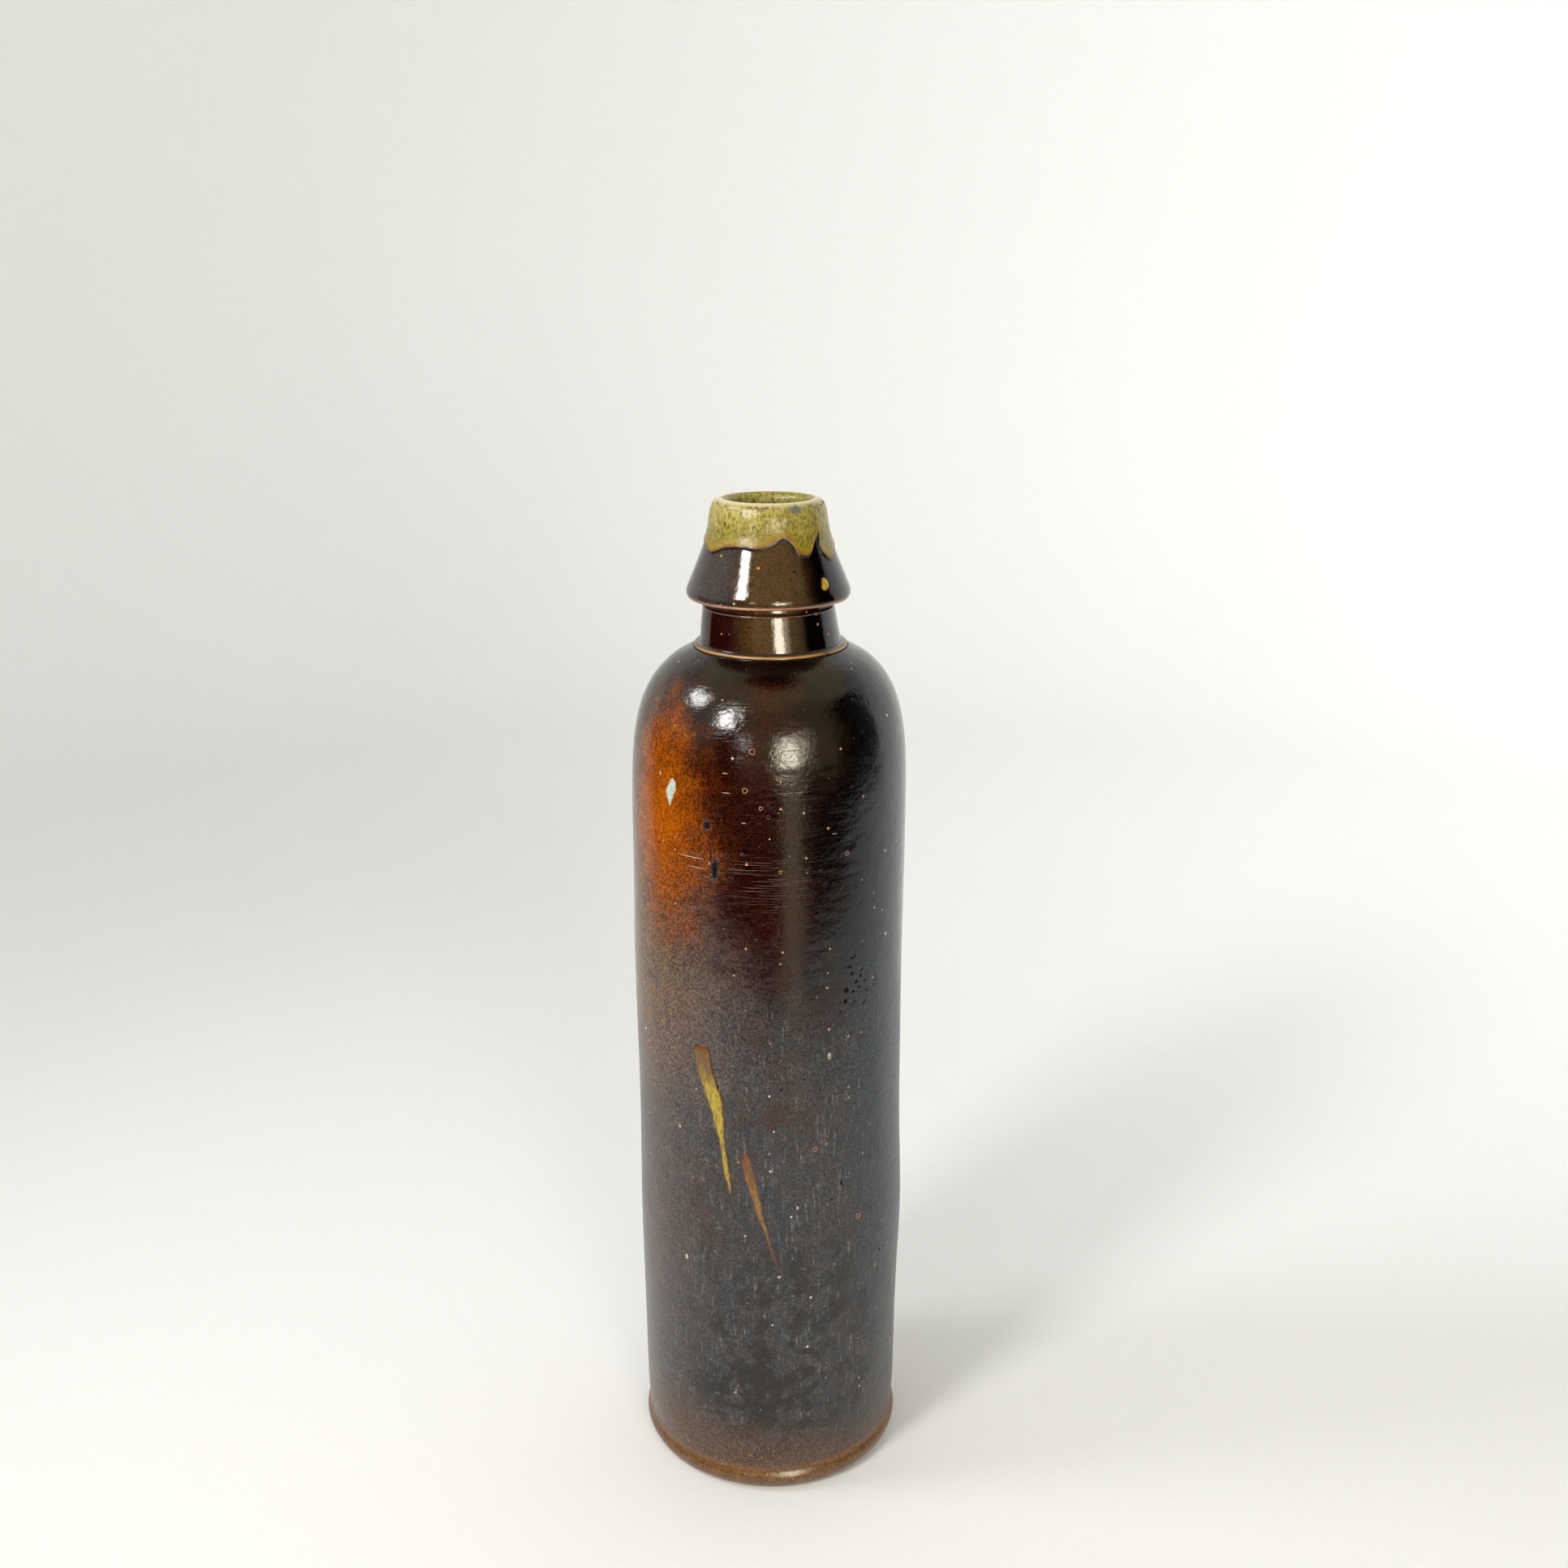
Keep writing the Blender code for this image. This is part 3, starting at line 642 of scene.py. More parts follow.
def makeAshGlaze():
    # marks: edge is how far in from the coat's edge, in mm; worn and chip are 1 where it is
    # gone; lip is 1 along the top of the mouth
    material, w, point, shader = newMaterial("ashGlaze")
    c = ash
    edge, worn, chip, lip = (w.mark(m) for m in ("edge", "worn", "chip", "lip"))
    side = w.math("SINE", w.times(w.group(unwrap, {"Point": point}), math.pi / 180))
    fine = w.noise(point, 1300.0, 4.0, 0.7, (1, 1, 0.7))
    cloud = w.noise(point, 190.0, 4.0, 0.6)
    runny = w.noise(point, 700.0, 4.0, 0.6, (1, 1, 0.14))
    colour = w.mix(w.ramp(fine, 0.36, 0.62), c["speck"], c["olive"])
    colour = w.mix(w.ramp(runny, 0.46, 0.72, 0.0, 0.55), colour, c["mustard"])
    milky = w.times(w.ramp(w.plus(edge, w.swing(cloud, 9.0)), 2.5, 9.5), w.ramp(fine, 0.34, 0.60))
    milky = w.times(milky, w.ramp(side, 0.94, -0.34, 0.45, 0.9))
    colour = w.mix(milky, colour, c["pale"])
    # painted highlight: cream along the top of the lip
    colour = w.mix(w.times(lip, 0.75), colour, c["cream"])
    pooled = w.plus(edge, w.swing(runny, 3.0))
    colour = w.mix(w.ramp(pooled, 3.8, 1.4), colour, c["mustard"])
    colour = w.mix(w.ramp(pooled, 2.0, 0.7), colour, c["ochre"])
    colour = w.mix(w.ramp(edge, 0.95, 0.50), colour, c["outline"])
    colour = w.mix(worn, colour, c["bare"])
    colour = w.mix(chip, colour, c["greyChip"])
    gone = w.math("MAXIMUM", worn, chip)
    roughness = w.mixValue(gone, w.ramp(cloud, 0.3, 0.7, 0.20, 0.38), 0.75)
    shader["IOR"].default_value = 1.5
    peel = w.group(orangePeel, {"Point": point, "Wave": 0.45, "Peel": 0.35, "Pits": 0.9})
    peel = w.plus(w.plus(peel, runny, 0.5), fine, 0.6)
    finishMaterial(w, shader, colour, roughness, peel, 0.6, 0.18)
    return material


def makeRunGlaze(name, head, middle, tail, rim):
    # a tear of ash glaze: colours from its top to its tip, and the stain along its sides
    material, w, point, shader = newMaterial(name)
    fine = w.noise(point, 1300.0, 4.0, 0.65, (1, 1, 0.4))
    runny = w.noise(point, 600.0, 4.0, 0.6, (1, 1, 0.15))
    fromTop = w.plus(w.minus(1.0, w.mark("along")), w.swing(runny, 0.3))
    colour = w.mix(w.ramp(fromTop, 0.10, 0.30), head, middle)
    colour = w.mix(w.ramp(fromTop, 0.72, 0.95), colour, tail)
    colour = w.mix(w.ramp(fine, 0.44, 0.60, 0.0, 0.75), colour, tuple(0.35 * v for v in middle))
    fromSide = w.plus(w.mark("edge"), w.swing(fine, 0.7))
    colour = w.mix(w.ramp(fromSide, 0.85, 0.30), colour, rim)
    shader["IOR"].default_value = 1.6
    peel = w.plus(w.times(fine, 0.5), runny)
    finishMaterial(w, shader, colour, w.ramp(runny, 0.3, 0.7, 0.16, 0.32), peel, 0.4, 0.10)
    return material


def makeScab(name, light, dark, rim=None):
    material, w, point, shader = newMaterial(name)
    fine = w.noise(point, 1200.0, 5.0, 0.7)
    colour = w.mix(w.ramp(fine, 0.36, 0.64), dark, light)
    if rim:
        colour = w.mix(w.ramp(w.mark("edge"), 0.35, 0.05), colour, rim)
    finishMaterial(w, shader, colour, w.ramp(fine, 0.3, 0.7, 0.45, 0.75), fine, 0.6, 0.12)
    return material


def makeClay(name, dark, light, grit, roughness):
    material, w, point, shader = newMaterial(name)
    cloud = w.noise(point, 90.0, 5.0, 0.6)
    fine = w.noise(point, 1500.0, 4.0, 0.7)
    colour = w.mix(w.ramp(cloud, 0.35, 0.68), dark, light)
    colour = w.mix(0.5, colour, w.mix(fine, (0.4,) * 3, (1.5,) * 3), "MULTIPLY")
    dots = w.group(specks, {"Point": point, "Spacing": 520.0, "Size": 0.25, "Share": 0.25})
    uneven = w.ramp(cloud, 0.3, 0.7, roughness - 0.12, roughness + 0.12)
    finishMaterial(w, shader, w.mix(dots, colour, grit), uneven, fine, 0.6, 0.16)
    return material


def makePit():
    # painted shade: an open pinhole is coloured near black for the shade inside it, and shows no shine
    material, w, point, shader = newMaterial("pitShade")
    fine = w.noise(point, 2400.0, 3.0, 0.6)
    w.feed(shader["Base Color"], w.mix(fine, (0.002, 0.0015, 0.0012), (0.012, 0.009, 0.008)))
    w.feed(shader["Roughness"], w.ramp(fine, 0.3, 0.7, 0.7, 1.0))
    shader["Specular IOR Level"].default_value = 0.08
    return material


ironGlaze = makeIronGlaze()
ringGlaze = makeRingGlaze()
blisterGlaze = makeBlisterGlaze()
ashGlaze = makeAshGlaze()
runGlaze = makeRunGlaze("runGlaze", (0.11, 0.036, 0.005), (0.33, 0.235, 0.010),
                        (0.27, 0.18, 0.012), (0.045, 0.016, 0.005))
shortRunGlaze = makeRunGlaze("shortRunGlaze", (0.12, 0.040, 0.006), (0.20, 0.090, 0.006),
                             (0.055, 0.010, 0.010), (0.045, 0.012, 0.010))
dropGlaze = makeRunGlaze("dropGlaze", (0.42, 0.27, 0.012), (0.46, 0.30, 0.014),
                         (0.34, 0.17, 0.008), (0.12, 0.05, 0.006))
flakeScab = makeScab("flakeScab", (0.46, 0.50, 0.44), (0.22, 0.27, 0.25), (0.16, 0.07, 0.02))
pitShade = makePit()
gritScab = makeScab("gritScab", (0.55, 0.47, 0.34), (0.24, 0.17, 0.10))
stoneware = makeClay("stoneware", (0.15, 0.085, 0.055), (0.27, 0.155, 0.095), (0.05, 0.032, 0.025), 0.74)
bareRim = makeClay("bareRim", (0.30, 0.125, 0.060), (0.52, 0.27, 0.17), (0.08, 0.04, 0.025), 0.55)
seamSlip = makeClay("seamSlip", (0.055, 0.030, 0.020), (0.12, 0.070, 0.045), (0.03, 0.02, 0.015), 0.82)
print("glazes and clay mixed")


def latheSkin(name, line, rows, segments, depth, fine=1.0, marks=None):
    # a closed skin of glaze: the line outside, and the same line set in by the depth inside
    line = fineLine(line, rows)
    facing = around(segments)[None, :]
    outward, upward = normalsOf(line)[:, 1][:, None], -normalsOf(line)[:, 0][:, None]
    wide, height = spread(line[:, 0], facing), spread(line[:, 1], facing)
    hand = handOffset(facing, height)
    fromEnd = np.minimum(np.arange(rows), np.arange(rows)[::-1])[:, None]
    ridge = fine * fineOffset(facing, height) * np.clip(fromEnd / 4, 0, 1)
    inner = slice(None, None, -max(1, rows // 24))  # the inside has fewer rings
    radius = np.vstack([wide + hand + ridge * outward, (wide + hand - depth * outward)[inner]])
    level = np.vstack([height + ridge * upward, (height - depth * upward)[inner]])
    given = {}
    for mark, values in (marks or {}).items():
        whole = spread(values(line), facing)
        given[mark] = np.vstack([whole, whole[inner]])
    return ringSolid(name, facing, radius, level, given)


body = {
    "rows": 430, "segments": 400, "depth": 0.45 * mm, "endTuck": 0.5 * mm, "radius": 37.4 * mm,
    # the glaze runs over the foot: a soft swelling with a shallow dip above it
    "foot": [(34.95, 0.22), (36.25, 0.80), (37.15, 1.90), (37.62, 3.10), (37.75, 4.00),
             (37.66, 4.50), (37.38, 5.05), (37.02, 5.68), (36.72, 6.22), (36.61, 6.80),
             (36.68, 7.80), (36.88, 9.40), (37.12, 12.0), (37.30, 17.0)],
}
coatLine = meridian("iron_glaze_body")
endWay = (coatLine[-1] - coatLine[-2]) / np.linalg.norm(coatLine[-1] - coatLine[-2])
bodyLine = np.vstack([np.array(body["foot"]) * mm, coatLine[1:],
                      coatLine[-1] + endWay * body["endTuck"]])
wallLine = fineLine(bodyLine, body["rows"])
wallLine = wallLine[wallLine[:, 1] > 4 * mm]


def bodyRadius(facing, height):
    # the glazed wall's radius at any point of it
    radius = np.interp(height, wallLine[:, 1], wallLine[:, 0])
    return radius + handOffset(facing, height) + fineOffset(facing, height)


place(latheSkin("bodyGlaze", bodyLine, body["rows"], body["segments"], body["depth"]),
      ironGlaze, "iron_glaze", "iron_glaze_body")

foot = {
    # bare clay under the foot, and the floor inside the bottle
    "line": [(0.02, 8.2), (31.4, 8.2), (31.5, 6.4), (36.5, 6.2), (37.0, 4.4), (36.7, 2.6),
             (35.9, 1.25), (35.0, 0.42), (34.3, 0.08), (33.4, 0.0), (20.0, 0.0), (0.02, 0.0)],
    # arcs of the wire that cut it from the wheel: depth, pitch, and the middle of the arcs
    "wire": 0.05 * mm, "pitch": 1.9 * mm, "wireMiddle": (70 * mm, -25 * mm),
    "flatRadius": 33.2 * mm, "rows": 150, "segments": 160,
}


def makeFoot():
    line = cornerLine(np.array(foot["line"]) * mm, foot["rows"], keepCorners=True)
    facing = around(foot["segments"])[None, :]
    radius, level = spread(line[:, 0], facing), spread(line[:, 1], facing)
    x, y, _ = np.moveaxis(toWorld(facing, radius, level), -1, 0)
    middle = foot["wireMiddle"]
    arc = np.hypot(x - middle[0], y - middle[1]) / foot["pitch"] * 2 * math.pi
    under = (level < 0.01 * mm) & (radius < foot["flatRadius"])
    level = level + under * foot["wire"] * (1 + np.sin(arc))
    points = toWorld(facing, radius, level).reshape(-1, 3)
    faces = gridFaces(len(line), foot["segments"], False, True)
    return meshPiece("footClay", points, faces + endFaces(len(line), foot["segments"]))


place(makeFoot(), stoneware, "stoneware", "foot_disc")

ring = {
    "line": [(18.0, 240.35), (19.4, 240.30), (20.10, 240.52), (20.42, 241.00), (20.48, 241.45),
             (20.30, 241.95), (19.85, 242.32), (19.20, 242.46), (18.60, 242.62), (18.0, 242.9)],
    "rows": 40, "segments": 256, "depth": 0.35 * mm,
    "wornOutside": 19.4, "wornHeight": 241.75, "wornSpread": 0.30,
}


def ringWear(line):
    # the glaze is rubbed off the ring's upper outer edge
    outside = line[:, 0] / mm > ring["wornOutside"]
    return bell(line[:, 1] / mm - ring["wornHeight"], ring["wornSpread"]) * outside


place(latheSkin("neckRing", np.array(ring["line"]) * mm, ring["rows"], ring["segments"],
                ring["depth"], 0.5, {"worn": ringWear}),
      ringGlaze, "iron_glaze", "neck_ring")

neck = {
    "rows": 110, "segments": 256, "depth": 0.12 * mm, "wornHeight": 251.70, "wornSpread": 0.16,
    # under the umbrella the neck steps in: twentieths of its height, and how far in, in mm
    "stepIn": [(16.6, 0.06), (17.1, 0.36), (17.6, 0.58), (18.6, 0.62), (20.8, 0.62)],
}
neckCoat = meridian("iron_glaze_neck")
neckRise = (neckCoat[-1] - neckCoat[0]) / 20
neckLine = [neckCoat[0] + neckRise * step for step in range(-1, 17)]
neckLine += [neckCoat[0] + neckRise * step - np.array([inward, 0]) * mm
             for step, inward in neck["stepIn"]]


def neckWear(line):
    # the edge of the step is rubbed
    return bell(line[:, 1] / mm - neck["wornHeight"], neck["wornSpread"])


place(latheSkin("neckGlaze", neckLine, neck["rows"], neck["segments"], neck["depth"], 0.35,
                {"worn": neckWear}),
      ironGlaze, "iron_glaze", "iron_glaze_neck")

umbrella = {
    "rows": 150, "segments": 320, "depth": 0.40 * mm,
    # how far the iron glaze lies under the ash glaze, and where it begins to
    "underAsh": 0.30 * mm, "dipFrom": 256.0 * mm, "dipRise": 14.0 * mm,
    "edge": [(21.36, 254.78), (21.60, 254.96), (21.72, 255.24)],
    "underHeights": [259.8, 261.5, 263.2, 265.0, 267.0, 269.0, 271.0, 273.4],
}
umbrellaCoat = meridian("iron_glaze_collar")
capCoat = meridian("ash_glaze_cap")


def ashOuter(height):
    # the ash coat's outer radius, from under the rim's slope to the lip
    heights = np.concatenate([umbrellaCoat[5:, 1], capCoat[2:5, 1]])
    radii = np.concatenate([umbrellaCoat[5:, 0], capCoat[2:5, 0]])
    return splineThrough(heights, radii, height)


def ashDepth(height):
    # how far the iron glaze lies below the ash coat's surface
    share = (height - umbrella["dipFrom"]) / umbrella["dipRise"]
    return umbrella["underAsh"] * np.clip(share, 0.1, 1)


def makeUmbrella():
    # the iron glaze goes on under the ash glaze, a little lower than its surface
    heights = np.array(umbrella["underHeights"]) * mm
    under = np.column_stack([ashOuter(heights) - ashDepth(heights), heights])
    line = np.vstack([np.array(umbrella["edge"]) * mm, umbrellaCoat[4:6], under])
    return latheSkin("umbrellaGlaze", line, umbrella["rows"], umbrella["segments"],
                     umbrella["depth"], 0.16)


place(makeUmbrella(), ironGlaze, "iron_glaze", "iron_glaze_collar")

rim = {
    # the umbrella's clay: a bare edge shows under the glaze
    "line": [(16.2, 254.75), (17.4, 254.40), (18.8, 254.08), (19.8, 253.97), (20.5, 254.0),
             (21.0, 254.16), (21.34, 254.44), (21.52, 254.80), (21.40, 255.1), (21.1, 255.8),
             (20.2, 258.0), (18.9, 261.2), (17.5, 264.9), (16.4, 268.0), (15.2, 268.0)],
    "rows": 120, "segments": 256, "wobble": 0.04 * mm,
}


def makeRim():
    line = cornerLine(np.array(rim["line"]) * mm, rim["rows"])
    facing = around(rim["segments"])[None, :]
    radius, level = spread(line[:, 0], facing), spread(line[:, 1], facing)
    wobble = rim["wobble"] * smoothNoise(facing / 360 * 26, level / mm, 21, 26)
    return ringSolid("umbrellaClay", facing, radius + wobble, level)


place(makeRim(), bareRim, "stoneware", "umbrella_collar")
print("body, foot, neck and umbrella skinned")


cap = {
    "segments": 720, "rows": 130, "boreRadius": 10.4, "boreBottom": 262.0, "boreTop": 276.5,
    "boreLip": [(10.50, 278.6), (10.82, 279.2), (11.28, 279.66), (11.85, 279.93)],
    "crest": [(12.40, 280.0), (13.36, 279.80), (14.10, 279.34), (14.62, 278.72), (14.93, 277.9)],
    "insideCoat": [(12.0, 268.4), (12.0, 262.0)],
    # the notch at the right leans: degrees for each mm down, where, and over how many degrees
    "lean": 1.55, "leanAt": 50, "leanSpread": 20, "leanTop": 272 * mm, "leanMost": 7.5 * mm,
    "bead": 1.0, "swell": 0.10 * mm, "chipAt": 29, "chipSpread": 7.0, "chipDepth": 0.16 * mm,
    "wornDepth": 0.14 * mm,
    # the coat's lower edge: facing in degrees, height in millimetres
    "edge": [(-174, 266.6), (-166, 267.9), (-152, 268.9), (-138, 267.5), (-126, 265.7),
             (-114, 266.2), (-102, 268.1), (-88, 268.8), (-74, 268.2), (-61, 266.8),
             (-54.6, 266.7), (-49, 267.4), (-42, 268.2), (-31, 268.7), (-22, 268.8),
             (-14.6, 268.5), (-10, 268.4), (-6.5, 268.5), (-1, 269.1), (6, 269.9), (11, 270.7),
             (14.6, 271.1), (18.3, 270.7), (22, 269.7), (25, 268.1), (28.4, 266.9),
             (32.2, 266.5), (37, 266.4), (41, 267.4), (44.3, 269.4), (48.2, 270.5),
             (52.7, 271.9), (54, 271.1), (48.3, 268.7), (50.4, 267.1), (52.8, 265.7),
             (56.7, 264.6), (62, 264.9), (72, 266.4), (84, 267.4), (96, 267.0), (108, 265.4),
             (118, 264.9), (130, 266.6), (142, 268.4), (154, 268.0), (166, 266.3), (178, 265.9)],
}


def capLean(facing, height):
    # the coat is sheared about the notch
    down = np.clip(cap["leanTop"] - height, 0, cap["leanMost"]) / mm
    return cap["lean"] * down * bell(facing - cap["leanAt"], cap["leanSpread"])


def capEdge(facing):
    knots = np.array(cap["edge"])
    at = knots[:, 0] + capLean(knots[:, 0], knots[:, 1] * mm)
    at = np.maximum.accumulate(at + np.arange(len(at)) * 1e-4)
    at = np.concatenate([at - 360, at, at + 360])
    fine = np.arange(-200, 200, 0.25)
    level = np.interp(fine, at, np.tile(knots[:, 1], 3))
    soft = np.exp(-(np.arange(-8, 9) * 0.25 / 0.9) ** 2)
    level = np.convolve(level, soft / soft.sum(), "same")
    level = level + 0.07 * smoothNoise(fine / 360 * 90, 0 * fine, 31, 90)
    return np.interp(facing, fine, level) * mm


def capWear(turns, facing, reach, level):
    # where the coat is rubbed off along the lip, and where a chip is gone from it
    dash = smoothNoise(turns * 44, 0 * level, 37, 44)
    dash = dash + 0.9 * smoothNoise(turns * 150, level / mm / 0.4, 39, 150)
    lip = bell(reach / mm - 2.2 + 0.3 * smoothNoise(turns * 60, 0 * level, 45, 60), 0.42)
    chip = bell(turnBetween(facing, cap["chipAt"]) / cap["chipSpread"], 1)
    chip = chip * bell(reach / mm - 2.8, 1.4) * 1.8
    chip = chip + 0.3 * smoothNoise(turns * 120, level / mm / 0.5, 41, 120)
    return np.clip((dash - 0.05) * 3, 0, 1) * lip, np.clip(chip - 0.35, 0, 1)


def capSkin(turns, reach, rest, level):
    # the fine unevenness of the coat, which fades at the lip and at the edge
    skin = 0.035 * smoothNoise(turns * 70, level / mm / 2.2, 33, 70)
    skin = skin + 0.02 * smoothNoise(turns * 160, level / mm / 0.7, 35, 160)
    return skin * np.clip(reach / mm - 0.5, 0, 1) * np.clip(rest - 0.1, 0, 1) * mm


def capBore(facing):
    # up the bore from below, to the lip's inner edge
    heights = [*np.linspace(cap["boreBottom"], cap["boreTop"], 40), 277.3, 278.0]
    line = np.array([(cap["boreRadius"], height) for height in heights] + cap["boreLip"]) * mm
    level = spread(line[:, 1], facing)
    wobble = 0.03 * mm * smoothNoise(facing / 360 * 40, level / mm / 1.5, 43, 40)
    return spread(line[:, 0], facing) + wobble, level


def makeCap():
    facing = around(cap["segments"])[None, :]
    turns = facing / 360
    edge = capEdge(facing[0])
    outside = [(float(ashOuter(h * mm)) / mm, h) for h in np.arange(276.6, 263.4, -0.6)]
    line = fineLine(np.array(cap["crest"] + outside) * mm, 400)
    along, normal = lengthAlong(line), normalsOf(line)
    # rows down the outside: reach is the way from the lip, and rest, in mm, the way to the edge
    length = np.interp(-edge, -line[:, 1], along)[None, :]
    share = 1 - (1 - np.linspace(0, 1, cap["rows"])) ** 1.6
    reach = share[:, None] * length
    rest = (length - reach) / mm
    radius, level = (np.interp(reach, along, line[:, k]) for k in (0, 1))
    outward, upward = -np.interp(reach, along, normal[:, 1]), np.interp(reach, along, normal[:, 0])
    # a thick rounded bead along the edge, which thins to the coat above it
    bead = np.sqrt(1 - (1 - np.clip(rest / cap["bead"], 0, 1)) ** 2)
    lift = (bead - 1) * ashDepth(level) * 0.97 + cap["swell"] * bell(rest - 1.3, 1.1)
    worn, chip = capWear(turns, facing, reach, level)
    lift = lift + capSkin(turns, reach, rest, level)
    lift = lift - worn * cap["wornDepth"] - chip * cap["chipDepth"]
    turned = facing - capLean(facing, level)
    radius, level = radius + lift * outward, level + lift * upward
    # the way back, inside the coat
    boreRadius, boreLevel = capBore(facing)
    back = np.array(cap["insideCoat"]) * mm
    backRadius = np.interp(edge + 0.6 * mm, line[::-1, 1], line[::-1, 0]) - 0.55 * mm
    allRadius = np.vstack([boreRadius, radius, backRadius, spread(back[:, 0], facing)])
    allLevel = np.vstack([boreLevel, level, edge + 0.5 * mm, spread(back[:, 1], facing)])
    allFacing = np.vstack([0 * boreLevel + facing, turned, turned[-1:],
                           spread(0 * back[:, 0], facing) + facing])

    def joined(before, values, last=0.0):
        return np.vstack([0 * boreLevel + before, values, np.full((3, facing.size), last)])

    marks = {"edge": joined(12.0, rest), "worn": joined(0.0, worn), "chip": joined(0.0, chip),
             "lip": joined(0.0, bell(reach / mm, 1.6))}
    return ringSolid("ashCap", allFacing, allRadius, allLevel, marks)


place(makeCap(), ashGlaze, "ash_glaze", "ash_glaze_cap")
print("ash glaze over the mouth")


strip = {
    "edgeSunk": 0.06 * mm, "backSunk": 0.22 * mm,  # how far it bites into the coat below
    "endTaper": 2.0, "mmPerDegree": 0.65, "ragged": 0.35,
}


def stripPatch(name, rows, count, across, rise):
    # a tear of glaze: rows are height, left and right facing; the middle stands proud
    rows = np.array(sorted(rows))
    at = np.linspace(rows[0, 0], rows[-1, 0], count)
    left, right = np.interp(at, rows[:, 0], rows[:, 1]), np.interp(at, rows[:, 0], rows[:, 2])
    ragged = strip["ragged"]
    left = left + ragged * smoothNoise(at / 1.3, 0 * at, 51) * np.clip((right - left) / 3, 0.1, 1)
    right = right + ragged * smoothNoise(at / 1.1, 0 * at, 53) * np.clip((right - left) / 3, 0.1, 1)
    share = np.linspace(0, 1, across)[None, :]
    facing = left[:, None] * (1 - share) + right[:, None] * share
    height = spread(at * mm, facing)
    dome = np.sqrt(np.clip(1 - (2 * share - 1) ** 2, 0, 1))
    fromEnd = np.minimum(at - at[0], at[-1] - at)[:, None]
    ends = np.sqrt(np.clip(fromEnd / strip["endTaper"], 0, 1))
    ground = surfaceRadius(name, facing, height)
    upper = toWorld(facing, ground + (rise * dome * ends - strip["edgeSunk"]), height).reshape(-1, 3)
    lower = toWorld(facing, ground - strip["backSunk"], height).reshape(-1, 3)
    size = count * across
    faces = gridFaces(count, across, False, False)
    faces += [[size + k for k in face[::-1]] for face in faces]
    # a wall round the border joins the top to the underside
    border = list(range(across))
    border += [i * across + across - 1 for i in range(1, count)]
    border += [(count - 1) * across + j for j in range(across - 2, -1, -1)]
    border += [i * across for i in range(count - 2, 0, -1)]
    for point, following in zip(border, border[1:] + border[:1]):
        faces.append([following, point, size + point, size + following])
    fromSide = np.minimum(share, 1 - share) * (right - left)[:, None] * strip["mmPerDegree"]
    fromFoot = spread((at - at[0]) / (at[-1] - at[0]), share)
    marks = {"along": np.vstack([fromFoot] * 2), "edge": np.vstack([fromSide] * 2)}
    return meshPiece(name, np.vstack([upper, lower]), faces, marks)


def surfaceRadius(name, facing, height):
    # the drop lies on the umbrella, and everything else on the body
    if name == "ashDrop":
        radius = np.interp(height, umbrellaCoat[:, 1], umbrellaCoat[:, 0])
        return radius + handOffset(facing, height)
    return bodyRadius(facing, height)


outlines = {
    # height, left and right facing
    "ashRunLong": [(139.6, -31.4, -25.2), (137.5, -32.4, -24.4), (132, -31.2, -22.9),
                   (124, -26.6, -18.7), (114, -21.9, -18.0), (108, -20.6, -17.0),
                   (103, -19.4, -15.9), (98, -17.6, -15.0), (95.0, -15.5, -14.9)],
    "ashRunShort": [(109.5, -11.2, -8.2), (107, -11.8, -6.6), (104, -11.2, -5.8),
                    (101, -10.2, -4.8), (96, -7.9, -3.2), (92, -6.0, -2.0), (88, -3.9, -0.8),
                    (83, -1.5, 0.9), (77, 1.6, 3.3), (72.5, 3.7, 4.6)],
    "ashDrop": [(261.4, 44.6, 47.0), (260.6, 43.0, 49.4), (259.6, 41.8, 49.6),
                (258.8, 41.6, 48.2), (258.2, 42.6, 45.4)],
    "paleFlake": [(212.3, -42.2, -41.2), (211.2, -43.4, -39.8), (209.6, -44.6, -39.4),
                  (208.2, -45.6, -40.0), (206.4, -44.6, -41.0), (205.2, -43.6, -41.8),
                  (204.4, -43.0, -42.4)],
}
strips = [
    # name, points along and across, rise, material, slot, the CAD piece it stands for
    ("ashRunLong", 180, 26, 0.34 * mm, runGlaze, "ash_glaze", "ash_glaze_run_long"),
    ("ashRunShort", 150, 14, 0.22 * mm, shortRunGlaze, "ash_glaze", "ash_glaze_run_short"),
    ("ashDrop", 40, 24, 0.30 * mm, dropGlaze, "ash_glaze", "ash_glaze_drop"),
    ("paleFlake", 60, 22, 0.16 * mm, flakeScab, "pale_scab", "pale_flake"),
]
for name, count, across, rise, material, slot, node in strips:
    place(stripPatch(name, outlines[name], count, across, rise), material, slot, node)

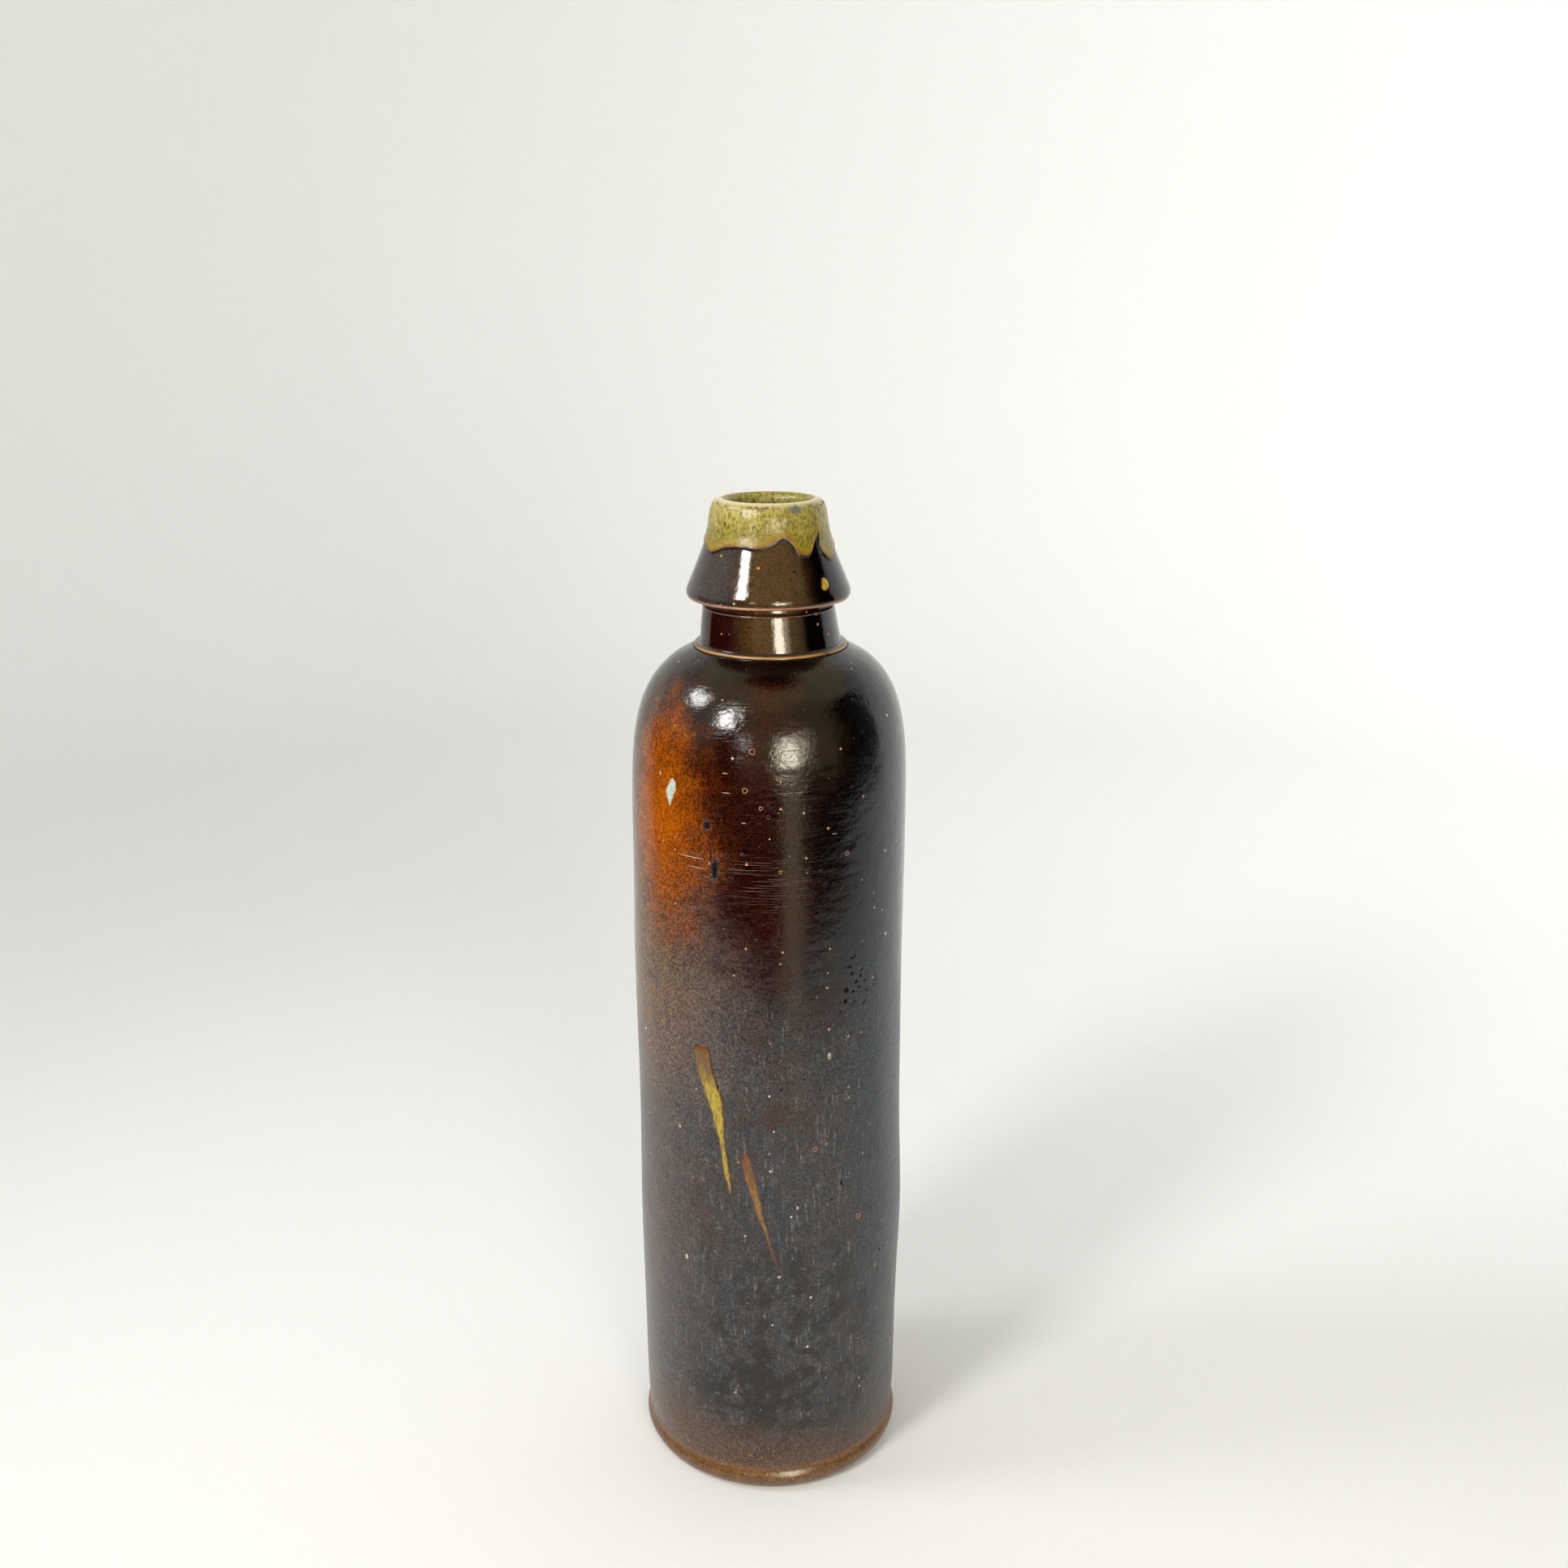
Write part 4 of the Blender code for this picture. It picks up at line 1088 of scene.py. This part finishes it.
blisters = {
    # what stands in the glaze or is burst in it
    "tube": 0.12,  # half thickness of a ring, in mm
    # facing, height, radius in mm: rings left by burst bubbles
    "rings": [(-8.9, 211.5, 0.62), (-6.2, 221.4, 0.70), (40.6, 85.0, 0.78), (19.4, 109.6, 0.60),
              (-2.6, 207.0, 0.45), (5.0, 190.0, 0.42), (33.0, 193.0, 0.48), (70.0, 120.0, 0.6),
              (-120.0, 176.0, 0.7), (140.0, 96.0, 0.65), (172.0, 205.0, 0.6), (-160.0, 70.0, 0.7)],
    # facing, height, length, width in mm: pale grit
    "grit": [(25.6, 136.6, 0.95, 0.55), (-40.5, 113.0, 0.55, 0.35), (-37.6, 73.0, 0.8, 0.5),
             (4.3, 71.4, 0.42, 0.42), (-28.0, 137.8, 0.65, 0.6), (-49.0, 212.5, 0.6, 0.3),
             (12.0, 92.5, 0.5, 0.35), (-10.0, 84.0, 0.4, 0.3), (52.0, 66.0, 0.5, 0.3),
             (110.0, 150.0, 0.8, 0.5), (-100.0, 120.0, 0.7, 0.5), (160.0, 60.0, 0.7, 0.5)],
    # facing, height, length, width in mm: open pinholes and scars, low domes painted near black as the
    # shade in them
    "pits": [(33.4, 154.6, 0.85, 0.75), (33.0, 151.4, 0.7, 0.6), (36.2, 158.9, 0.5, 0.6),
             (38.6, 156.2, 0.45, 0.55), (40.8, 157.6, 0.5, 0.4), (36.8, 153.6, 0.4, 0.6),
             (40.2, 154.4, 0.35, 0.5), (43.2, 155.6, 0.4, 0.45), (37.6, 150.8, 0.35, 0.4),
             (35.4, 160.8, 0.3, 0.35), (44.6, 152.6, 0.3, 0.4), (30.6, 148.8, 0.35, 0.3),
             (31.8, 97.4, 0.7, 0.35), (27.2, 93.2, 0.35, 0.3), (-21.8, 128.2, 0.7, 0.6),
             (-24.6, 201.5, 0.8, 0.45), (-21.4, 190.0, 1.7, 0.55), (-23.0, 193.6, 1.5, 0.22),
             (5.0, 128.4, 0.4, 0.3), (14.6, 131.0, 0.35, 0.3), (55.0, 70.0, 0.5, 0.3),
             (126.0, 170.0, 0.8, 0.6), (-112.0, 90.0, 0.7, 0.5), (178.0, 132.0, 0.8, 0.6)],
}


def besideSpot(facing, height, right, up, out):
    # a point of the wall that far to the right of a spot, above it, and out of the glaze
    turned = facing + math.degrees(right / body["radius"])
    level = height * mm + up
    return toWorld(turned, float(bodyRadius(turned, level)) + out, level)


def makeBlisters():
    points, faces = [], []
    for facing, height, radius in blisters["rings"]:
        faces += gridFaces(20, 8, True, True, len(points))
        for turn in np.arange(20) / 20 * 2 * math.pi:
            wide = radius * (1 + 0.12 * math.sin(3 * turn + facing))
            for tube in np.arange(8) / 8 * 2 * math.pi:
                reach = (wide + blisters["tube"] * math.cos(tube)) * mm
                points.append(besideSpot(facing, height, reach * math.sin(turn),
                                         reach * math.cos(turn), 0.13 * math.sin(tube) * mm))
    return meshPiece("blisterRims", points, faces)


def makeGrit(name, spots, rise):
    # low uneven domes
    points, faces = [], []
    for k, (facing, height, length, width) in enumerate(spots):
        faces += gridFaces(7, 14, False, True, len(points)) + endFaces(7, 14, len(points))
        for i in range(1, 8):
            for j in range(14):
                polar, turn = i / 8 * math.pi, j / 14 * 2 * math.pi
                rough = 1 + 0.22 * math.sin(2.3 * i + 1.7 * j + k) * math.sin(1.1 * j + k)
                reach = rough * math.sin(polar) * mm
                points.append(besideSpot(facing, height, width * reach * math.sin(turn),
                                         length * reach * math.cos(turn), rise * math.cos(polar)))
    return meshPiece(name, points, faces)


place(makeBlisters(), blisterGlaze, "iron_glaze")
place(makeGrit("glazeGrit", blisters["grit"], 0.15 * mm), gritScab, "pale_scab")
place(makeGrit("glazePits", blisters["pits"], 0.04 * mm), pitShade, "iron_glaze")
print("runs, flake, blisters and grit set")


plainNodes = {
    # clay and slip that show only through the mouth, or not at all
    "lower_wall": stoneware, "shoulder_wall": stoneware, "neck_tube": stoneware,
    "mouth_lip": stoneware, "foot_seam_slip": seamSlip, "waist_seam_slip": seamSlip,
    "neck_seam_slip": seamSlip, "collar_seam_slip": seamSlip, "lip_seam_slip": seamSlip,
}
for node, material in plainNodes.items():
    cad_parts[node].data.materials.clear()
    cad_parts[node].data.materials.append(material)


camera = {"place": (4.1 * mm, -431.4 * mm, 335.9 * mm), "pitch": 17.25, "lens": 37.87}


def makeCamera():
    data = bpy.data.cameras.new("camera")
    data.lens = camera["lens"]
    data.sensor_width = 36
    data.clip_start = 0.01
    eye = bpy.data.objects.new("camera", data)
    eye.location = camera["place"]
    eye.rotation_euler = (math.radians(90 - camera["pitch"]), 0, 0)
    bpy.context.scene.collection.objects.link(eye)
    bpy.context.scene.camera = eye


room = {
    # what the glaze mirrors beyond the white paper: dim walls, a ceiling, a lit strip of floor.
    # Each: azimuth from the front and its half width, elevation and its half height, softness
    # of the edges in degrees, and colour
    "dark": (0.006, 0.005, 0.004),
    "ceiling": (0.0, 184.0, 56.0, 18.0, 3.0, (0.80, 0.68, 0.40)),
    "leftWall": (-96.0, 48.0, 26.0, 20.0, 8.0, (0.72, 0.60, 0.48)),
    "frontWall": (18.0, 42.0, 20.0, 26.0, 6.0, (0.54, 0.42, 0.24)),
    "litFloor": (19.0, 8.0, -14.0, 16.0, 3.0, (1.25, 1.02, 0.68)),
    "light": (0.28, 0.28, 0.275),  # the even light that falls on everything
    "eye": 0.20,  # height that the directions are taken from
}


def makeRoomView():
    group, w, inside, outside = newGroup(
        "roomView", "Direction", {}, ("Colour",), "NodeSocketColor")
    x, y, z = w.split(inside["Direction"])
    azimuth = w.azimuth(x, y)
    flat = w.put("ShaderNodeVectorMath", {0: inside["Direction"], 1: (1, 1, 0)}, operation="MULTIPLY")
    length = w.put("ShaderNodeVectorMath", {0: flat}, 1, operation="LENGTH")
    elevation = w.times(w.math("ARCTAN2", z, length), 180 / math.pi)
    colour = room["dark"]
    for part in ("ceiling", "leftWall", "frontWall", "litFloor"):
        middle, half, level, rise, soft, tint = room[part]
        across = w.math("ABSOLUTE", w.math("WRAP", w.minus(azimuth, middle), 180.0, -180.0))
        across = w.ramp(across, half - soft, half + soft, 1.0, 0.0)
        up = w.math("ABSOLUTE", w.minus(elevation, level))
        up = w.ramp(up, rise - soft, rise + soft, 1.0, 0.0)
        colour = w.mix(w.times(across, up), colour, tint)
    w.feed(outside["Colour"], colour)
    return group


roomView = makeRoomView()

sweep = {
    "flat": 0.80, "bend": 0.45, "top": 1.55, "segments": 96,
    "colour": (0.80, 0.805, 0.80), "grainColour": (0.83, 0.835, 0.83),
    # the front edge of the paper as the glaze mirrors it: steps of how far it runs back,
    # from and to each distance to the side
    "frontEdge": -0.335, "leftSteps": [(0.40, 0.49, 0.50), (0.49, 1.20, 0.42)],
    "rightSteps": [(0.22, 0.86, 0.22), (0.80, 0.96, 0.36)],
}


def makePaper():
    material, w, point, shader = newMaterial("paper")
    grain = w.noise(point, 400.0, 3.0, 0.5)
    w.feed(shader["Base Color"], w.mix(grain, sweep["colour"], sweep["grainColour"]))
    shader["Roughness"].default_value = 0.9
    shader["Specular IOR Level"].default_value = 0.1
    # in the glaze's reflections the paper ends, and the dim room begins
    x, y, _ = w.split(point)
    edge = sweep["frontEdge"]
    for side, steps in ((-1.0, "leftSteps"), (1.0, "rightSteps")):
        out = w.times(x, side)
        for start, end, back in sweep[steps]:
            step = w.put("ShaderNodeMapRange", {"Value": out, 1: start, 2: end, 3: 0.0, 4: back})
            edge = w.plus(edge, step)
    past = w.ramp(w.minus(y, edge), -0.006, 0.006, 1.0, 0.0)
    mirrored = w.put("ShaderNodeLightPath", out=3)
    aim = w.put("ShaderNodeVectorMath", {0: point, 1: (0, 0, room["eye"])}, operation="SUBTRACT")
    emit = w.put("ShaderNodeEmission", {"Color": w.group(roomView, {"Direction": aim})})
    paper = w.tree.nodes["Principled BSDF"].outputs[0]
    both = w.put("ShaderNodeMixShader", {0: w.times(past, mirrored), 1: paper, 2: emit})
    w.feed(w.tree.nodes["Material Output"].inputs[0], both)
    material.cycles.emission_sampling = "NONE"
    return material


def makeSweep():
    # a white floor that curves up into a wall all round
    flat, bend, segments = sweep["flat"], sweep["bend"], sweep["segments"]
    line = [(0.002, 0), (flat * 0.5, 0), (flat, 0)]
    for turn in np.radians(np.arange(1, 13) / 12 * 90):
        line.append((flat + bend * math.sin(turn), bend - bend * math.cos(turn)))
    line = np.array([*line, (flat + bend, sweep["top"])])
    facing = around(segments)[None, :]
    points = toWorld(facing, spread(line[:, 0], facing), spread(line[:, 1], facing))
    faces = gridFaces(len(line), segments, False, True)
    faces.append(list(range(segments))[::-1])
    floor = meshPiece("floor", points.reshape(-1, 3), faces)
    floor.data.materials.append(makePaper())


lamps = [
    # name, azimuth from the front, elevation, distance, width, height, brightness, spread in
    # degrees, colour, whether the glaze mirrors it, and what it points at
    ("key", -41, 33, 0.96, 0.20, 0.24, 34.0, 180, (1.0, 0.98, 0.95), True, (0, 0, 0.17)),
    ("keyLow", -22, 15, 0.95, 0.07, 0.10, 14.0, 180, (1.0, 0.98, 0.95), True, (0, 0, 0.17)),
    ("leftLamp", -84, 41, 0.90, 0.24, 0.17, 25.0, 64, (1.0, 0.98, 0.96), True, (0, 0, 0.20)),
    ("window", 19, 10, 1.05, 0.50, 0.36, 3.4, 180, (1.0, 0.90, 0.68), True, (0, 0, 0.17)),
    ("windowCore", 16, 8, 1.04, 0.26, 0.20, 20.0, 180, (1.0, 0.93, 0.76), True, (0, 0, 0.17)),
    ("top", 170, 66, 1.25, 1.20, 1.20, 0.80, 180, (1.0, 1.0, 1.0), False, (0.2, 1.10, 0.1)),
    ("rightWash", 75, 60, 0.90, 0.40, 0.40, 18.0, 100, (1.0, 1.0, 1.0), False, (0.75, 0.9, 0.2)),
]


def makeLamps():
    centre = Vector((0, 0, 0.17))  # the middle of the bottle, about
    for name, azimuth, elevation, distance, width, height, bright, spread, *rest in lamps:
        colour, mirrored, aim = rest
        data = bpy.data.lights.new(name, "AREA")
        data.shape = "RECTANGLE"
        data.size = width
        data.size_y = height
        data.spread = math.radians(spread)
        data.energy = bright * math.pi * width * height
        if spread < 180:
            # a narrow lamp is brighter along its axis, so it needs less power
            half = math.radians(spread / 2)
            data.energy *= (math.tan(half) - half) / math.tan(half)
        data.color = colour
        lamp = bpy.data.objects.new(name, data)
        a, e = math.radians(azimuth), math.radians(elevation)
        way = Vector((math.sin(a) * math.cos(e), -math.cos(a) * math.cos(e), math.sin(e)))
        lamp.location = centre + way * distance
        lamp.rotation_euler = (Vector(aim) - lamp.location).to_track_quat("-Z", "Y").to_euler()
        lamp.visible_camera = False
        lamp.visible_glossy = mirrored
        bpy.context.scene.collection.objects.link(lamp)


def makeWorld():
    world = bpy.data.worlds.new("room")
    world.use_nodes = True
    w = Wires(world.node_tree)
    direction = w.put("ShaderNodeTexCoord", out=0)
    mirrored = w.put("ShaderNodeLightPath", out=3)
    sky = w.mix(mirrored, room["light"], w.group(roomView, {"Direction": direction}))
    w.feed(world.node_tree.nodes["Background"].inputs["Color"], sky)
    bpy.context.scene.world = world


makeCamera()
makeSweep()
makeLamps()
makeWorld()
bpy.context.scene.view_settings.view_transform = "Standard"
print("floor, lamps and camera set")
